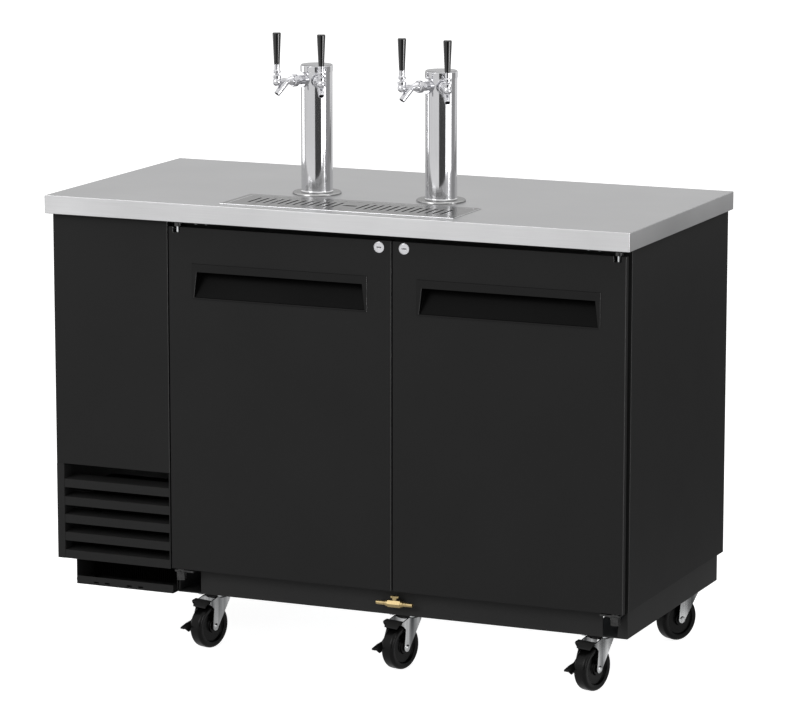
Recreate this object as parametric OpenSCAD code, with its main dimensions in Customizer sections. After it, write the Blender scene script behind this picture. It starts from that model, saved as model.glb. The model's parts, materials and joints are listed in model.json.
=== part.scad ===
// Two-door draft beer dispenser on casters, with two tap towers and a drip tray in the counter.
// Millimetres, +Z up, the doors face -Y. The origin is on the floor, under the middle of the counter.

/* [Counter] */
// Width of the counter
counter_w = 1495; // [1420:5:1600]
// Depth of the counter
counter_d = 725; // [690:5:780]
// Height of the counter's top face above the floor
counter_z = 1097; // [1040:1:1130]
// Height of the counter's apron
apron_h = 44; // [38:1:56]
// Thickness of the counter's steel sheet
counter_skin = 2; // [1.5:0.5:3]
// Overhang of the counter past each side of the cabinet
side_overhang = 12; // [6:1:24]
// Overhang of the counter past the door faces
front_overhang = 20; // [12:1:36]
// Overhang of the counter past the back of the cabinet
back_overhang = 2; // [0:1:16]

/* [Cabinet] */
// Thickness of the insulated walls and floor
wall_t = 50; // [46:1:60]
// Thickness of the insulated roof below the counter
roof_t = 56; // [56:1:70]
// Width of the machine bay's front panel
bay_w = 307; // [290:1:330]
// Thickness of the bay's sheet metal
sheet_t = 2; // [1.5:0.5:3]
// Distance from the door faces back to the front of the cabinet
door_standoff = 34; // [32:1:40]
// Width of the post between the door openings
mullion_w = 96; // [92:1:110]
// Depth of the post between the door openings
mullion_d = 40; // [30:1:60]
// Height of the louvred opening in the bay's front
grille_h = 236; // [220:2:260]
// Width of the post at the left of the louvres
grille_post_w = 20; // [14:1:28]
// Number of louvre slats
slat_count = 5; // [3:1:6]
// Height of a louvre slat's front face
slat_face_h = 21; // [12:1:22]
// Depth of a louvre slat's sloping top
slat_depth = 52; // [30:1:56]

/* [Base] */
// Height of the base under the cabinet
base_h = 63; // [48:1:70]
// Height of the casters
caster_h = 139; // [130:1:148]
// Thickness of the base's sheet metal
base_t = 3; // [2:0.5:5]
// Width of the base's bottom flange
base_flange_w = 120; // [115:1:150]
// Distance from the cabinet's back to the base's back
base_back_inset = 38; // [20:1:60]
// Width of the hinge openings at the base's front corners
hinge_opening_w = 61; // [56:1:70]
// Height of the front lip of the bay's pan
pan_lip_h = 20; // [14:1:28]
// Distance from the cabinet's left side to the bay's pan
pan_inset = 46; // [36:1:60]

/* [Doors] */
// Gap between the doors, and between a door and the bay's panel
door_gap = 3.5; // [3:0.5:6]
// Gap between the apron and the door tops
door_drop = 14; // [12:1:20]
// Gap between the cabinet's bottom edge and the door bottoms
door_lift = 2; // [2:0.5:5]
// Inset of the right door's edge from the cabinet's side
door_side_inset = 2.5; // [1:0.5:6]
// Thickness of the door's painted outer pan
door_pan_t = 16; // [14:1:20]
// Thickness of the door at its inner liner
door_t = 46; // [44:1:56]
// Inset of the inner liner from the door's edges
liner_inset = 60; // [58:1:70]
// Width of the magnetic gasket
gasket_w = 16; // [12:1:20]
// Distance of the hinge pins from the door's outer edge
pin_inset = 21; // [20:0.5:22]
// Distance of the hinge pins behind the door's face
pin_setback = 10; // [9:0.5:11]
// Diameter of the hinge pins
pin_d = 10; // [8:0.5:12]
// Width of the handle's frame
handle_w = 455; // [380:5:500]
// Height of the handle's frame
handle_h = 85; // [75:1:100]
// Drop from the door top to the handle's frame
handle_drop = 86; // [60:1:120]
// Depth of the finger pocket
pocket_depth = 36; // [30:1:38]
// Width of the finger pocket at its top edge
pocket_w = 429; // [350:1:432]
// Diameter of the door locks
lock_d = 23; // [19:0.5:25]
// Distance of the locks from the door's free edge
lock_inset = 30; // [26:1:40]
// Drop from the door top to the locks
lock_drop = 16; // [14:0.5:18]

/* [Tap towers] */
// Distance between the tower axes
tower_spacing = 324; // [280:2:380]
// Distance of the tower axes in front of the counter's middle
tower_forward = 68; // [40:1:80]
// Diameter of the tower columns
column_d = 76.2; // [70:0.2:90]
// Wall of the tower columns
column_wall = 2; // [1.5:0.5:3]
// Height of the tower columns without their caps
column_h = 295; // [260:1:340]
// Diameter of the tower flanges
tower_flange_d = 118; // [110:1:130]
// Height of the tower caps
cap_h = 17; // [12:1:24]
// Height of the faucet shanks above the counter
shank_h = 277; // [240:1:278]
// Diameter of the faucet shanks
shank_d = 22; // [20:0.5:24]
// Angle of each faucet from the front of its tower
faucet_angle = 30; // [25:1:45]
// Reach of the faucet levers from the tower axis
lever_reach = 116; // [110:1:124]
// Length of the tap handles
tap_handle_l = 76; // [60:1:110]
// Diameter of the tap handles at the top
tap_handle_d = 20.5; // [17:0.5:24]

/* [Drip tray] */
// Width of the drip tray over its rim
tray_w = 600; // [520:5:640]
// Depth of the drip tray over its rim
tray_d = 172; // [150:1:180]
// Distance from the counter's front to the tray's rim
tray_setback = 40; // [34:1:48]
// Width of the tray's rim
tray_rim_w = 14; // [12:1:16]
// Depth of the tray's basin
tray_depth = 24; // [18:1:30]
// Width of a slot in the tray's grid
slot_w = 6; // [4:0.5:8]
// Length of a slot in the tray's grid
slot_l = 78; // [60:1:90]
// Pitch of the slots in the tray's grid
slot_pitch = 19.5; // [18:0.5:24]
// Width of the finger slot in the middle of the grid
finger_slot_w = 36; // [28:1:40]

/* [Casters] */
// Diameter of the caster wheels
wheel_d = 108; // [98:1:110]
// Width of the caster wheels
wheel_w = 34; // [28:1:38]
// Trail of the caster wheels
trail = 30; // [24:1:36]
// Turn of the front casters from straight ahead
caster_turn = 15; // [-30:1:30]
// Turn of the rear casters from straight ahead
rear_caster_turn = 28; // [-40:1:40]
// Diameter of the caster axles
axle_d = 10; // [8:0.5:12]
// Length of a caster's mounting plate
plate_l = 92; // [84:1:100]
// Width of a caster's mounting plate
plate_w = 72; // [66:1:84]

/* [Drain valve] */
// Length of the drain valve over its hose barbs
valve_l = 93; // [84:1:110]
// Diameter of the hose barbs' plain ends
barb_d = 10; // [7:0.5:10]

/* [Hidden] */
$fn = 64;

// Overshoot of cuts past a face, running clearance of pins, and clearance between moving neighbours
cut = 1;
run = 0.05;
clear = 0.3;

black = "#262626";
dark = "#1a1a1a";
steel = "#c4c4c4";
chrome = "#dcdcde";
zinc = "#b9bcc0";

// Planes of the cabinet
cab_x0 = -counter_w / 2 + side_overhang;
cab_x1 = counter_w / 2 - side_overhang;
front_y = -counter_d / 2 + front_overhang;
cab_y0 = front_y + door_standoff;
cab_y1 = counter_d / 2 - back_overhang;
apron_z = counter_z - apron_h;
cab_z0 = caster_h + base_h;
floor_z = cab_z0 + wall_t;
roof_z = apron_z - roof_t;
bay_x1 = cab_x0 + bay_w;
keg_x0 = bay_x1 + wall_t;
keg_x1 = cab_x1 - wall_t;
keg_y1 = cab_y1 - wall_t;
grille_z1 = cab_z0 + grille_h;

// Doors
door_x0 = bay_x1 + door_gap;
door_x1 = cab_x1 - door_side_inset;
door_w = (door_x1 - door_x0 - door_gap) / 2;
door_z0 = cab_z0 + door_lift;
door_z1 = apron_z - door_drop;
doors_mid = (door_x0 + door_x1) / 2;
door_starts = [door_x0, door_x1 - door_w];
pin_xs = [door_x0 + pin_inset, door_x1 - pin_inset];
pin_y = front_y + pin_setback;
pin_reach = 22;
notch_w = 18;
notch_h = 14;
gasket_inset = pin_inset + 1.5;
gasket_y1 = cab_y0 - clear;
lock_xs = [door_starts[0] + door_w - lock_inset, door_starts[1] + lock_inset];
lock_z = door_z1 - lock_drop;
lock_proud = 2.5;

// Handle pocket
handle_z1 = door_z1 - handle_drop;
handle_z0 = handle_z1 - handle_h;
handle_wall = 2.5;
handle_proud = 1.5;
handle_lip = 20;
handle_flare = 7.5;
handle_fit = 0.2;
handle_lap = 2;

// The handles grow and shrink with the doors: their sizes are those on a counter 1495 wide
handle_scale = counter_w / 1495;
handle_span = handle_w * handle_scale;
pocket_span = pocket_w * handle_scale;

// Base and casters
base_x0 = door_x0;
base_x1 = door_x1;
base_y1 = cab_y1 - base_back_inset;
caster_inset_left = 73;
caster_inset_right = 91;
caster_inset_rear_right = 64;
caster_inset_front = 62;
caster_inset_back = 48;
caster_x0 = base_x0 + caster_inset_left;
caster_front_y = cab_y0 + caster_inset_front;
caster_rear_y = base_y1 - caster_inset_back;
caster_spots = [
    [caster_x0, caster_front_y], [doors_mid, caster_front_y], [base_x1 - caster_inset_right, caster_front_y],
    [caster_x0, caster_rear_y], [doors_mid, caster_rear_y], [base_x1 - caster_inset_rear_right, caster_rear_y]
];
caster_names = ["front_left", "front_middle", "front_right", "rear_left", "rear_middle", "rear_right"];
axle_z = wheel_d / 2;
plate_t = 4;
race_d = 58;
race_h = 9;
crown_t = 4;
crown_z1 = caster_h - plate_t - race_h - clear;
crown_z0 = crown_z1 - crown_t;
kingpin_d = 12;
leg_t = 3;
leg_gap = 2.5;
leg_x0 = wheel_w / 2 + leg_gap;
leg_x1 = leg_x0 + leg_t;
pedal_behind = 14;
pedal_below = 8;
pedal_pivot = [-trail - pedal_behind, crown_z0 - pedal_below];
pedal_pin_d = 6;
pedal_side_x = -leg_x1 - clear;

// Bay pan
pan_x0 = cab_x0 + pan_inset;
pan_x1 = base_x0 - sheet_t;
pan_setback = 9;
pan_back_inset = 30;
pan_y0 = front_y + pan_setback;
pan_y1 = cab_y1 - pan_back_inset;
pan_z1 = caster_h + sheet_t;

// Towers and faucets
tower_xs = [-tower_spacing / 2, tower_spacing / 2];
tower_y = -tower_forward;
shank_z = counter_z + shank_h;
tower_bore_d = column_d - 2 * column_wall;
tower_flange_t = 5;
nut_standoff = 20;
nut_u0 = column_d / 2 + nut_standoff;
nut_l = 13;
nut_d = 30;
shank_bite = 5;
shank_u1 = nut_u0 + shank_bite;
body_u0 = nut_u0 + nut_l;
pivot_rise = 12;
lever_pivot_z = shank_z + pivot_rise;
ball_r = 7.5;
trunnion_d = 4;
trunnion_l = 18.4;
bonnet_rise = 3;
bonnet_top = lever_pivot_z + bonnet_rise;
collar_rise = 8.5;
collar_z0 = lever_pivot_z + collar_rise;
collar_h = 8.5;
ferrule_h = 13;
tap_handle_z0 = collar_z0 + collar_h + ferrule_h;
stud_d = 8;
stud_h = 14;

// Drip tray
tray_y0 = -counter_d / 2 + tray_setback;
tray_y1 = tray_y0 + tray_d;
tray_mid_y = (tray_y0 + tray_y1) / 2;
tray_skin = 1.5;
tray_room = 1;
board_gap = 0.2;
tray_ledge = 6;
tray_fit = 0.5;
grid_t = 3;
grid_inset = tray_rim_w + tray_fit;
basin_inset = tray_rim_w + tray_ledge;
ledge_z = counter_z + tray_skin - grid_t - clear;
drain_d = 16;
drain_tail = 24;
drain_l = counter_z - tray_depth - roof_z + drain_tail;

// Drain valve
valve_z = caster_h + base_h / 2;
valve_standoff = 18;
valve_y = cab_y0 - valve_standoff;
valve_stem_d = 12;
valve_lever_rise = 9;
valve_lever_z = valve_z + valve_lever_rise;
lever_seat_d = 5;
lever_seat_l = 5;

// A box between two corners given by axis
module span(x, y, z) {
    translate([x[0], y[0], z[0]])
        cube([x[1] - x[0], y[1] - y[0], z[1] - z[0]]);
}

// Extrudes a YZ outline along X
module along_x(x0, x1) {
    translate([x0, 0, 0])
        rotate([90, 0, 90])
            linear_extrude(x1 - x0)
                children();
}

// Extrudes an XZ outline along Y
module along_y(y0, y1) {
    translate([0, y1, 0])
        rotate([90, 0, 0])
            linear_extrude(y1 - y0)
                children();
}

// A cylinder from a point along one of the axes
module rod_x(p, d, l) {
    translate(p)
        rotate([0, 90, 0])
            cylinder(d = d, h = l);
}

module rod_y(p, d, l) {
    translate(p)
        rotate([-90, 0, 0])
            cylinder(d = d, h = l);
}

module rod_z(p, d, l) {
    translate(p)
        cylinder(d = d, h = l);
}

// A rectangle with round corners, made of exact arcs
module round_rect(w, h, r) {
    square([w - 2 * r, h], center = true);
    square([w, h - 2 * r], center = true);
    for (sx = [-1, 1], sy = [-1, 1])
        translate([sx * (w / 2 - r), sy * (h / 2 - r)])
            circle(r);
}

// A slot with round ends along its longer side
module slot(w, h) {
    round_rect(w, h, min(w, h) / 2 - 0.01);
}

// Counter and cabinet

module tray_cutout(grow, depth) {
    span([-tray_w / 2 + tray_rim_w / 2 - grow, tray_w / 2 - tray_rim_w / 2 + grow],
         [tray_y0 + tray_rim_w / 2 - grow, tray_y1 - tray_rim_w / 2 + grow],
         [counter_z - depth, counter_z + cut]);
}

module tower_passages() {
    for (x = tower_xs)
        rod_z([x, tower_y, roof_z - cut], tower_bore_d, counter_z - roof_z + 2 * cut);
}

module counter_top() {
    color(steel)
    difference() {
        span([-counter_w / 2, counter_w / 2], [-counter_d / 2, counter_d / 2], [apron_z, counter_z]);
        span([-counter_w / 2 + counter_skin, counter_w / 2 - counter_skin],
             [-counter_d / 2 + counter_skin, counter_d / 2 - counter_skin],
             [apron_z - cut, counter_z - counter_skin]);
        tray_cutout(0, counter_skin + cut);
        tower_passages();
    }
}

// Foamed lid in two layers, and four boards that fill the counter's pan round the tray's basin
module insulated_roof() {
    drain_hole_d = drain_d + 2 * tray_room;
    pan_x = counter_w / 2 - counter_skin;
    pan_y = counter_d / 2 - counter_skin;
    basin_gap = tray_rim_w - tray_skin - tray_room;
    well_x = tray_w / 2 - basin_gap;
    well_y0 = tray_y0 + basin_gap;
    well_y1 = tray_y1 - basin_gap;
    board_z0 = counter_z - tray_depth - tray_room;
    board_zs = [board_z0, counter_z - counter_skin];
    lid_slabs = [[[cab_x0 + sheet_t, keg_x1], [cab_y0, keg_y1], [roof_z, apron_z - board_gap]],
                 [[-pan_x, pan_x], [-pan_y, pan_y], [apron_z, board_z0 - board_gap]]];
    color(black) {
        for (slab = lid_slabs)
            difference() {
                span(slab[0], slab[1], slab[2]);
                tower_passages();
                rod_z([0, tray_mid_y, roof_z - cut], drain_hole_d, counter_z - roof_z);
            }
        difference() {
            span([-pan_x, pan_x], [well_y1, pan_y], board_zs);
            tower_passages();
        }
        span([-pan_x, pan_x], [-pan_y, well_y0], board_zs);
        for (xs = [[-pan_x, -well_x], [well_x, pan_x]])
            span(xs, [well_y0 + board_gap, well_y1 - board_gap], board_zs);
    }
}

module insulated_floor() {
    color("#b8babc")
    span([keg_x0, keg_x1], [cab_y0, keg_y1], [cab_z0, floor_z]);
}

module rear_wall() {
    color("#9da0a3")
    span([bay_x1, keg_x1], [keg_y1, cab_y1], [cab_z0, apron_z]);
}

module right_wall() {
    color(black)
    span([keg_x1, cab_x1], [cab_y0, cab_y1], [cab_z0, apron_z]);
}

module bay_partition() {
    color(black)
    span([bay_x1, keg_x0], [cab_y0, keg_y1], [cab_z0, roof_z]);
}

module centre_mullion() {
    color(black)
    span([doors_mid - mullion_w / 2, doors_mid + mullion_w / 2], [cab_y0, cab_y0 + mullion_d],
         [floor_z, roof_z]);
}

// Machine bay

module bay_side_panel() {
    vent_count = 9;
    vent_pitch = 26;
    vent_h = 8;
    vent_margin = 40;
    vent_lift = 60;
    vent_z0 = cab_z0 + vent_lift;
    vent_w = bay_w - 2 * vent_margin;
    color(black)
    difference() {
        union() {
            span([cab_x0, cab_x0 + sheet_t], [cab_y0, cab_y1], [cab_z0, apron_z]);
            span([cab_x0, bay_x1], [cab_y1 - sheet_t, cab_y1], [cab_z0, apron_z]);
            span([cab_x0, pan_x0 + sheet_t], [cab_y0, cab_y1], [cab_z0, cab_z0 + sheet_t]);
        }
        for (i = [0 : vent_count - 1])
            translate([cab_x0 + bay_w / 2, 0, vent_z0 + i * vent_pitch])
                along_y(cab_y1 - sheet_t - cut, cab_y1 + cut)
                    slot(vent_w, vent_h);
    }
}

module bay_front_panel() {
    color(black)
    difference() {
        span([cab_x0, bay_x1], [front_y, cab_y0], [grille_z1, apron_z]);
        span([cab_x0 + sheet_t, bay_x1 - sheet_t], [front_y + sheet_t, cab_y0 + cut],
             [grille_z1 + sheet_t, apron_z - sheet_t]);
    }
}

// One folded louvre slat: an upright face and a top that rises gently towards the back
module slat_profile() {
    t = 3;
    rise = 3;
    polygon([[0, 0], [t, 0], [t, slat_face_h - t], [slat_depth, slat_face_h + rise - t],
             [slat_depth, slat_face_h + rise], [0, slat_face_h]]);
}

module louvre_grille() {
    end_t = 3;
    slat_setback = 1;
    top_clear = 38;
    pitch = (grille_h - top_clear - slat_face_h) / (slat_count - 1);
    color(black) {
        difference() {
            span([cab_x0, cab_x0 + grille_post_w], [front_y, cab_y0], [cab_z0, grille_z1]);
            span([cab_x0 + sheet_t, cab_x0 + grille_post_w - sheet_t], [front_y + sheet_t, cab_y0 + cut],
                 [cab_z0 + sheet_t, grille_z1 - sheet_t]);
        }
        span([bay_x1 - end_t, bay_x1], [front_y + slat_setback, cab_y0], [cab_z0, grille_z1]);
        for (i = [0 : slat_count - 1])
            translate([0, front_y + slat_setback, cab_z0 + i * pitch])
                along_x(cab_x0 + grille_post_w - sheet_t / 2, bay_x1 - end_t / 2)
                    slat_profile();
    }
}

module bay_base_pan() {
    // Places of the lip's slots, as shares of its length from its middle
    slot_shares = [-0.297, -0.183, 0.046, 0.164];
    lip_slot_w = 14;
    lip_slot_h = 4;
    color(dark)
    difference() {
        union() {
            span([pan_x0, pan_x1], [pan_y0, pan_y1], [caster_h, pan_z1]);
            span([pan_x0, pan_x1], [pan_y0, pan_y0 + sheet_t], [caster_h, caster_h + pan_lip_h]);
            span([pan_x0, pan_x1], [pan_y1 - sheet_t, pan_y1], [caster_h, caster_h + pan_lip_h]);
            span([pan_x0, pan_x0 + sheet_t], [pan_y0, pan_y1], [caster_h, cab_z0]);
            span([pan_x1 - sheet_t, pan_x1], [cab_y0, pan_y1], [caster_h, cab_z0]);
        }
        for (share = slot_shares)
            translate([(pan_x0 + pan_x1) / 2 + share * (pan_x1 - pan_x0), 0, caster_h + pan_lip_h / 3])
                along_y(pan_y0 - cut, pan_y0 + sheet_t + cut)
                    slot(lip_slot_w, lip_slot_h);
    }
}

module base_frame() {
    corner_w = 25;
    corner_drop = 28;
    color(dark)
    difference() {
        span([base_x0, base_x1], [cab_y0, base_y1], [caster_h, cab_z0]);
        span([base_x0 + base_t, base_x1 - base_t], [cab_y0 + base_t, base_y1 - base_t],
             [caster_h + base_t, cab_z0 + cut]);
        span([base_x0 + base_flange_w, base_x1 - base_flange_w],
             [cab_y0 + base_flange_w, base_y1 - base_flange_w], [caster_h - cut, caster_h + base_t + cut]);
        span([base_x0 - cut, base_x0 + hinge_opening_w], [cab_y0 - cut, cab_y0 + base_t + cut],
             [caster_h + base_t, cab_z0 + cut]);
        along_y(cab_y0 - cut, cab_y0 + base_t + cut)
            polygon([[base_x1 - hinge_opening_w, caster_h + base_t], [base_x1 - corner_w, caster_h + base_t],
                     [base_x1 - corner_w + base_t, cab_z0 - corner_drop], [base_x1 - base_t, cab_z0],
                     [base_x1 - base_t, cab_z0 + cut], [base_x1 - hinge_opening_w, cab_z0 + cut]]);
    }
}

// The four door hinges: plates fixed to the cabinet, each with a pin in the door
module hinge_brackets() {
    plate_in = 14;
    top_out = 84;
    foot_out = 36;
    foot_l = 40;
    hinge_t = 5;
    hinge_setback = 1;
    boss_d = 20;
    cup_d = 24;
    cup_h = 20;
    top_z = apron_z - hinge_t;
    color(dark)
    for (side = [0, 1]) {
        dir = side == 0 ? 1 : -1;
        px = pin_xs[side];
        top_xs = [px - dir * plate_in, px + dir * top_out];
        foot_xs = [px - dir * plate_in, px + dir * foot_out];
        span([min(top_xs), max(top_xs)], [front_y + hinge_setback, cab_y0], [top_z, apron_z]);
        rod_z([px, pin_y, door_z1 + clear], boss_d, top_z - door_z1 - clear + cut);
        rod_z([px, pin_y, door_z1 - notch_h - pin_reach], pin_d, top_z - door_z1 + notch_h + pin_reach + cut);
        span([min(foot_xs), max(foot_xs)], [front_y + hinge_setback, cab_y0 + foot_l],
             [cab_z0 - hinge_t, cab_z0]);
        rod_z([px, pin_y, cab_z0 - cut], boss_d, door_lift - clear + cut);
        rod_z([px, pin_y, cab_z0 - cut], pin_d, door_lift + pin_reach + cut);
        rod_z([px, pin_y, cab_z0 - hinge_t - cup_h], cup_d, cup_h + cut);
    }
}

module compressor() {
    pot_d = 150;
    pot_h = 190;
    foot_h = 18;
    foot_l = 190;
    foot_w = 130;
    foot_d = 24;
    foot_spread = 0.4;
    foot_plate_t = 4;
    foot_plate_r = 12;
    dome = 26;
    box_w = 46;
    box_z0 = 60;
    box_h = 70;
    box_proud = 22;
    box_sunk = 20;
    pot_setback = 180.5;
    pot_x = (pan_x0 + pan_x1) / 2;
    pot_y = pan_y1 - pot_setback;
    tube_d = 9;
    tube_l = 40;
    color(dark)
    translate([pot_x, pot_y, pan_z1]) {
        for (sx = [-1, 1], sy = [-1, 1])
            rod_z([sx * foot_l * foot_spread, sy * foot_w * foot_spread, 0], foot_d, foot_h);
        translate([0, 0, foot_h])
            linear_extrude(foot_plate_t)
                round_rect(foot_l, foot_w, foot_plate_r);
        translate([0, 0, foot_h])
            rotate_extrude()
                polygon([[0, 0], [pot_d / 2 - dome / 2, 0], [pot_d / 2, dome / 2],
                         [pot_d / 2, pot_h - dome], [pot_d / 2 - dome / 2, pot_h - dome / 3],
                         [pot_d / 2 - dome, pot_h], [0, pot_h]]);
        span([-box_w / 2, box_w / 2], [-pot_d / 2 - box_proud, -pot_d / 2 + box_sunk],
             [foot_h + box_z0, foot_h + box_z0 + box_h]);
        rod_z([0, pot_d / 4, foot_h + pot_h - cut], tube_d, tube_l);
    }
}

coil_inset = 12;
coil_x0 = pan_x0 + coil_inset;
coil_x1 = pan_x1 - coil_inset;
coil_setback = 44;
coil_y0 = cab_y0 + coil_setback;
coil_d = 56;
coil_h = 240;
fan_d = 200;
fan_clear = 4;
fan_x = (coil_x0 + coil_x1) / 2;
fan_z = pan_z1 + coil_h / 2;
shroud_y0 = coil_y0 + coil_d;
shroud_d = 44;
fan_setback = 10;
fan_y0 = shroud_y0 + fan_setback;
fan_w = 26;
shaft_d = 8;

// Finned coil: two end plates, tube rows and a pack of fins
module condenser_coil() {
    end_t = 2;
    tube_d = 10;
    rows = 8;
    fin_count = 40;
    fin_t = 1.2;
    fin_margin = 8;
    fin_inset = 4;
    tube_proud = 3;
    row_shares = [0.3, 0.7];
    fin_pitch = (coil_x1 - coil_x0 - 2 * fin_margin) / (fin_count - 1);
    color(dark) {
        for (x = [coil_x0, coil_x1 - end_t])
            span([x, x + end_t], [coil_y0, coil_y0 + coil_d], [pan_z1, pan_z1 + coil_h]);
        for (i = [0 : rows - 1])
            rod_x([coil_x0 - tube_proud, coil_y0 + coil_d * row_shares[i % 2],
                   pan_z1 + coil_h * (i + 0.5) / rows],
                  tube_d, coil_x1 - coil_x0 + 2 * tube_proud);
        for (i = [0 : fin_count - 1])
            translate([coil_x0 + fin_margin + i * fin_pitch - fin_t / 2, 0, 0])
                span([0, fin_t], [coil_y0 + fin_inset, coil_y0 + coil_d - fin_inset],
                     [pan_z1 + fin_inset, pan_z1 + coil_h - fin_inset]);
    }
}

// Fan ring on the back of the coil, with the motor on three arms
module fan_shroud() {
    ring_wall = 3;
    motor_d = 76;
    motor_l = 60;
    motor_gap = 4;
    motor_y = shroud_y0 + shroud_d + motor_gap;
    arm_w = 12;
    arm_t = 8;
    arm_sunk = 4;
    arm_lap = 10;
    color(dark) {
        difference() {
            span([coil_x0, coil_x1], [shroud_y0, shroud_y0 + shroud_d], [pan_z1, pan_z1 + coil_h]);
            rod_y([fan_x, shroud_y0 - cut, fan_z], fan_d + 2 * fan_clear, shroud_d + 2 * cut);
            difference() {
                span([coil_x0 + ring_wall, coil_x1 - ring_wall],
                     [shroud_y0 - cut, shroud_y0 + shroud_d - ring_wall],
                     [pan_z1 + ring_wall, pan_z1 + coil_h - ring_wall]);
                rod_y([fan_x, shroud_y0, fan_z], fan_d + 2 * (fan_clear + ring_wall), shroud_d);
            }
        }
        for (a = [90, 210, 330])
            translate([fan_x, 0, fan_z])
                rotate([0, a, 0])
                    span([motor_d / 2 - arm_sunk, fan_d / 2 + arm_lap],
                         [motor_y - arm_t / 2, motor_y + arm_t / 2], [-arm_w / 2, arm_w / 2]);
        rod_y([fan_x, motor_y, fan_z], motor_d, motor_l);
        rod_y([fan_x, fan_y0, fan_z], shaft_d, motor_y - fan_y0 + cut);
    }
}

// Fan with pitched blades on a hub, turning about +Y through its hub's middle
module fan_rotor(d, w, bore, hub_d, blades) {
    blade_t = 2;
    pitch_angle = 28;
    difference() {
        union() {
            rod_y([0, 0, 0], hub_d, w);
            intersection() {
                for (i = [0 : blades - 1])
                    rotate([0, i * 360 / blades, 0])
                        translate([0, w / 2, 0])
                            rotate([0, 0, pitch_angle])
                                translate([-d / 4, -blade_t / 2, 0])
                                    cube([d / 2, blade_t, d / 2]);
                rod_y([0, 0, 0], d, w);
            }
        }
        rod_y([0, -cut, 0], bore, w + 2 * cut);
    }
}

module condenser_fan() {
    hub_d = 52;
    blade_count = 5;
    color("#c9cbcd")
    translate([fan_x, fan_y0, fan_z])
        fan_rotor(fan_d, fan_w, shaft_d + 2 * run, hub_d, blade_count);
}

evap_d = 120;
evap_l = 270;
evap_wall_gap = 20.5;
evap_y0 = keg_y1 - evap_wall_gap - evap_l;
evap_h = 250;
evap_drop = 10;
evap_z1 = roof_z - evap_drop;
evap_fan_d = 170;
evap_fan_w = 24;
evap_fan_inset = 6;
evap_mid_y = evap_y0 + evap_l / 2;
evap_mid_z = evap_z1 - evap_h / 2;
evap_x1 = keg_x0 + evap_d;

// Evaporator cover on the partition, with a fan mouth towards the kegs
module evaporator_housing() {
    skin = 2;
    motor_d = 60;
    motor_l = 40;
    bridge_w = 14;
    motor_gap = 8;
    fan_x0 = evap_x1 - evap_fan_w - evap_fan_inset;
    motor_x1 = fan_x0 - motor_gap;
    color("#a9acae") {
        difference() {
            span([keg_x0, evap_x1], [evap_y0, evap_y0 + evap_l], [evap_z1 - evap_h, evap_z1]);
            span([keg_x0 - cut, evap_x1 - skin], [evap_y0 + skin, evap_y0 + evap_l - skin],
                 [evap_z1 - evap_h - cut, evap_z1 - skin]);
            rod_x([evap_x1 - skin - cut, evap_mid_y, evap_mid_z], evap_fan_d + 2 * fan_clear, skin + 2 * cut);
        }
        span([motor_x1 - motor_l, motor_x1], [evap_y0 + skin / 2, evap_y0 + evap_l - skin / 2],
             [evap_mid_z - bridge_w / 2, evap_mid_z + bridge_w / 2]);
        rod_x([motor_x1 - motor_l, evap_mid_y, evap_mid_z], motor_d, motor_l);
        rod_x([motor_x1 - cut, evap_mid_y, evap_mid_z], shaft_d, evap_fan_w + motor_gap + cut);
    }
}

module evaporator_fan() {
    hub_d = 46;
    blade_count = 5;
    color("#d5d6d8")
    translate([evap_x1 - evap_fan_inset, evap_mid_y, evap_mid_z])
        rotate([0, 0, 90])
            fan_rotor(evap_fan_d, evap_fan_w, shaft_d + 2 * run, hub_d, blade_count);
}

// Doors

// Side view of the handle's housing, grown by the given fit
module handle_housing_profile(grow) {
    toe_depth = 6;
    y1 = front_y + pocket_depth + handle_wall;
    polygon([[front_y - cut, handle_z0 + handle_lap - grow], [front_y - cut, handle_z1 - handle_lap + grow],
             [y1 + grow, handle_z1 - handle_lap + grow], [y1 + grow, handle_z1 - handle_h / 2 - grow],
             [front_y + toe_depth + grow, handle_z0 + handle_lap - grow]]);
}

// Side view of the finger pocket: a back that slopes away upwards, and an undercut behind the top bar
module pocket_profile() {
    undercut = 10;
    bar_t = 3;
    mouth_z1 = handle_z1 - handle_lip;
    mouth_z0 = handle_z0 + 2 * handle_lap;
    polygon([[front_y - handle_proud - cut, mouth_z0], [front_y - handle_proud - cut, mouth_z1],
             [front_y + bar_t, mouth_z1], [front_y + bar_t, mouth_z1 + undercut],
             [front_y + pocket_depth, mouth_z1 + undercut], [front_y + handle_lap, mouth_z0]]);
}

module door_panel(side) {
    x0 = door_starts[side];
    x1 = x0 + door_w;
    mid = (x0 + x1) / 2;
    half = handle_span / 2 - handle_lap + handle_fit;
    difference() {
        union() {
            span([x0, x1], [front_y, front_y + door_pan_t], [door_z0, door_z1]);
            span([x0 + liner_inset, x1 - liner_inset], [front_y + door_pan_t - cut, front_y + door_t],
                 [door_z0 + liner_inset, door_z1 - liner_inset]);
        }
        along_x(mid - half, mid + half)
            handle_housing_profile(handle_fit);
        for (z = [door_z0 - cut, door_z1 - notch_h - pin_reach - cut])
            rod_z([pin_xs[side], pin_y, z], pin_d + 2 * run, pin_reach + 2 * cut);
        span([pin_xs[side] - notch_w / 2, pin_xs[side] + notch_w / 2],
             [front_y - cut, front_y + door_pan_t + cut], [door_z1 - notch_h, door_z1 + cut]);
        rod_y([lock_xs[side], front_y - cut, lock_z], lock_d + 2 * run, door_pan_t + 2 * cut);
    }
}

module door_gasket(side) {
    x0 = door_starts[side] + gasket_inset;
    x1 = door_starts[side] + door_w - gasket_inset;
    z0 = door_z0 + gasket_inset;
    z1 = door_z1 - gasket_inset;
    difference() {
        span([x0, x1], [front_y + door_pan_t, gasket_y1], [z0, z1]);
        span([x0 + gasket_w, x1 - gasket_w], [front_y + door_pan_t - cut, gasket_y1 + cut],
             [z0 + gasket_w, z1 - gasket_w]);
    }
}

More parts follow.
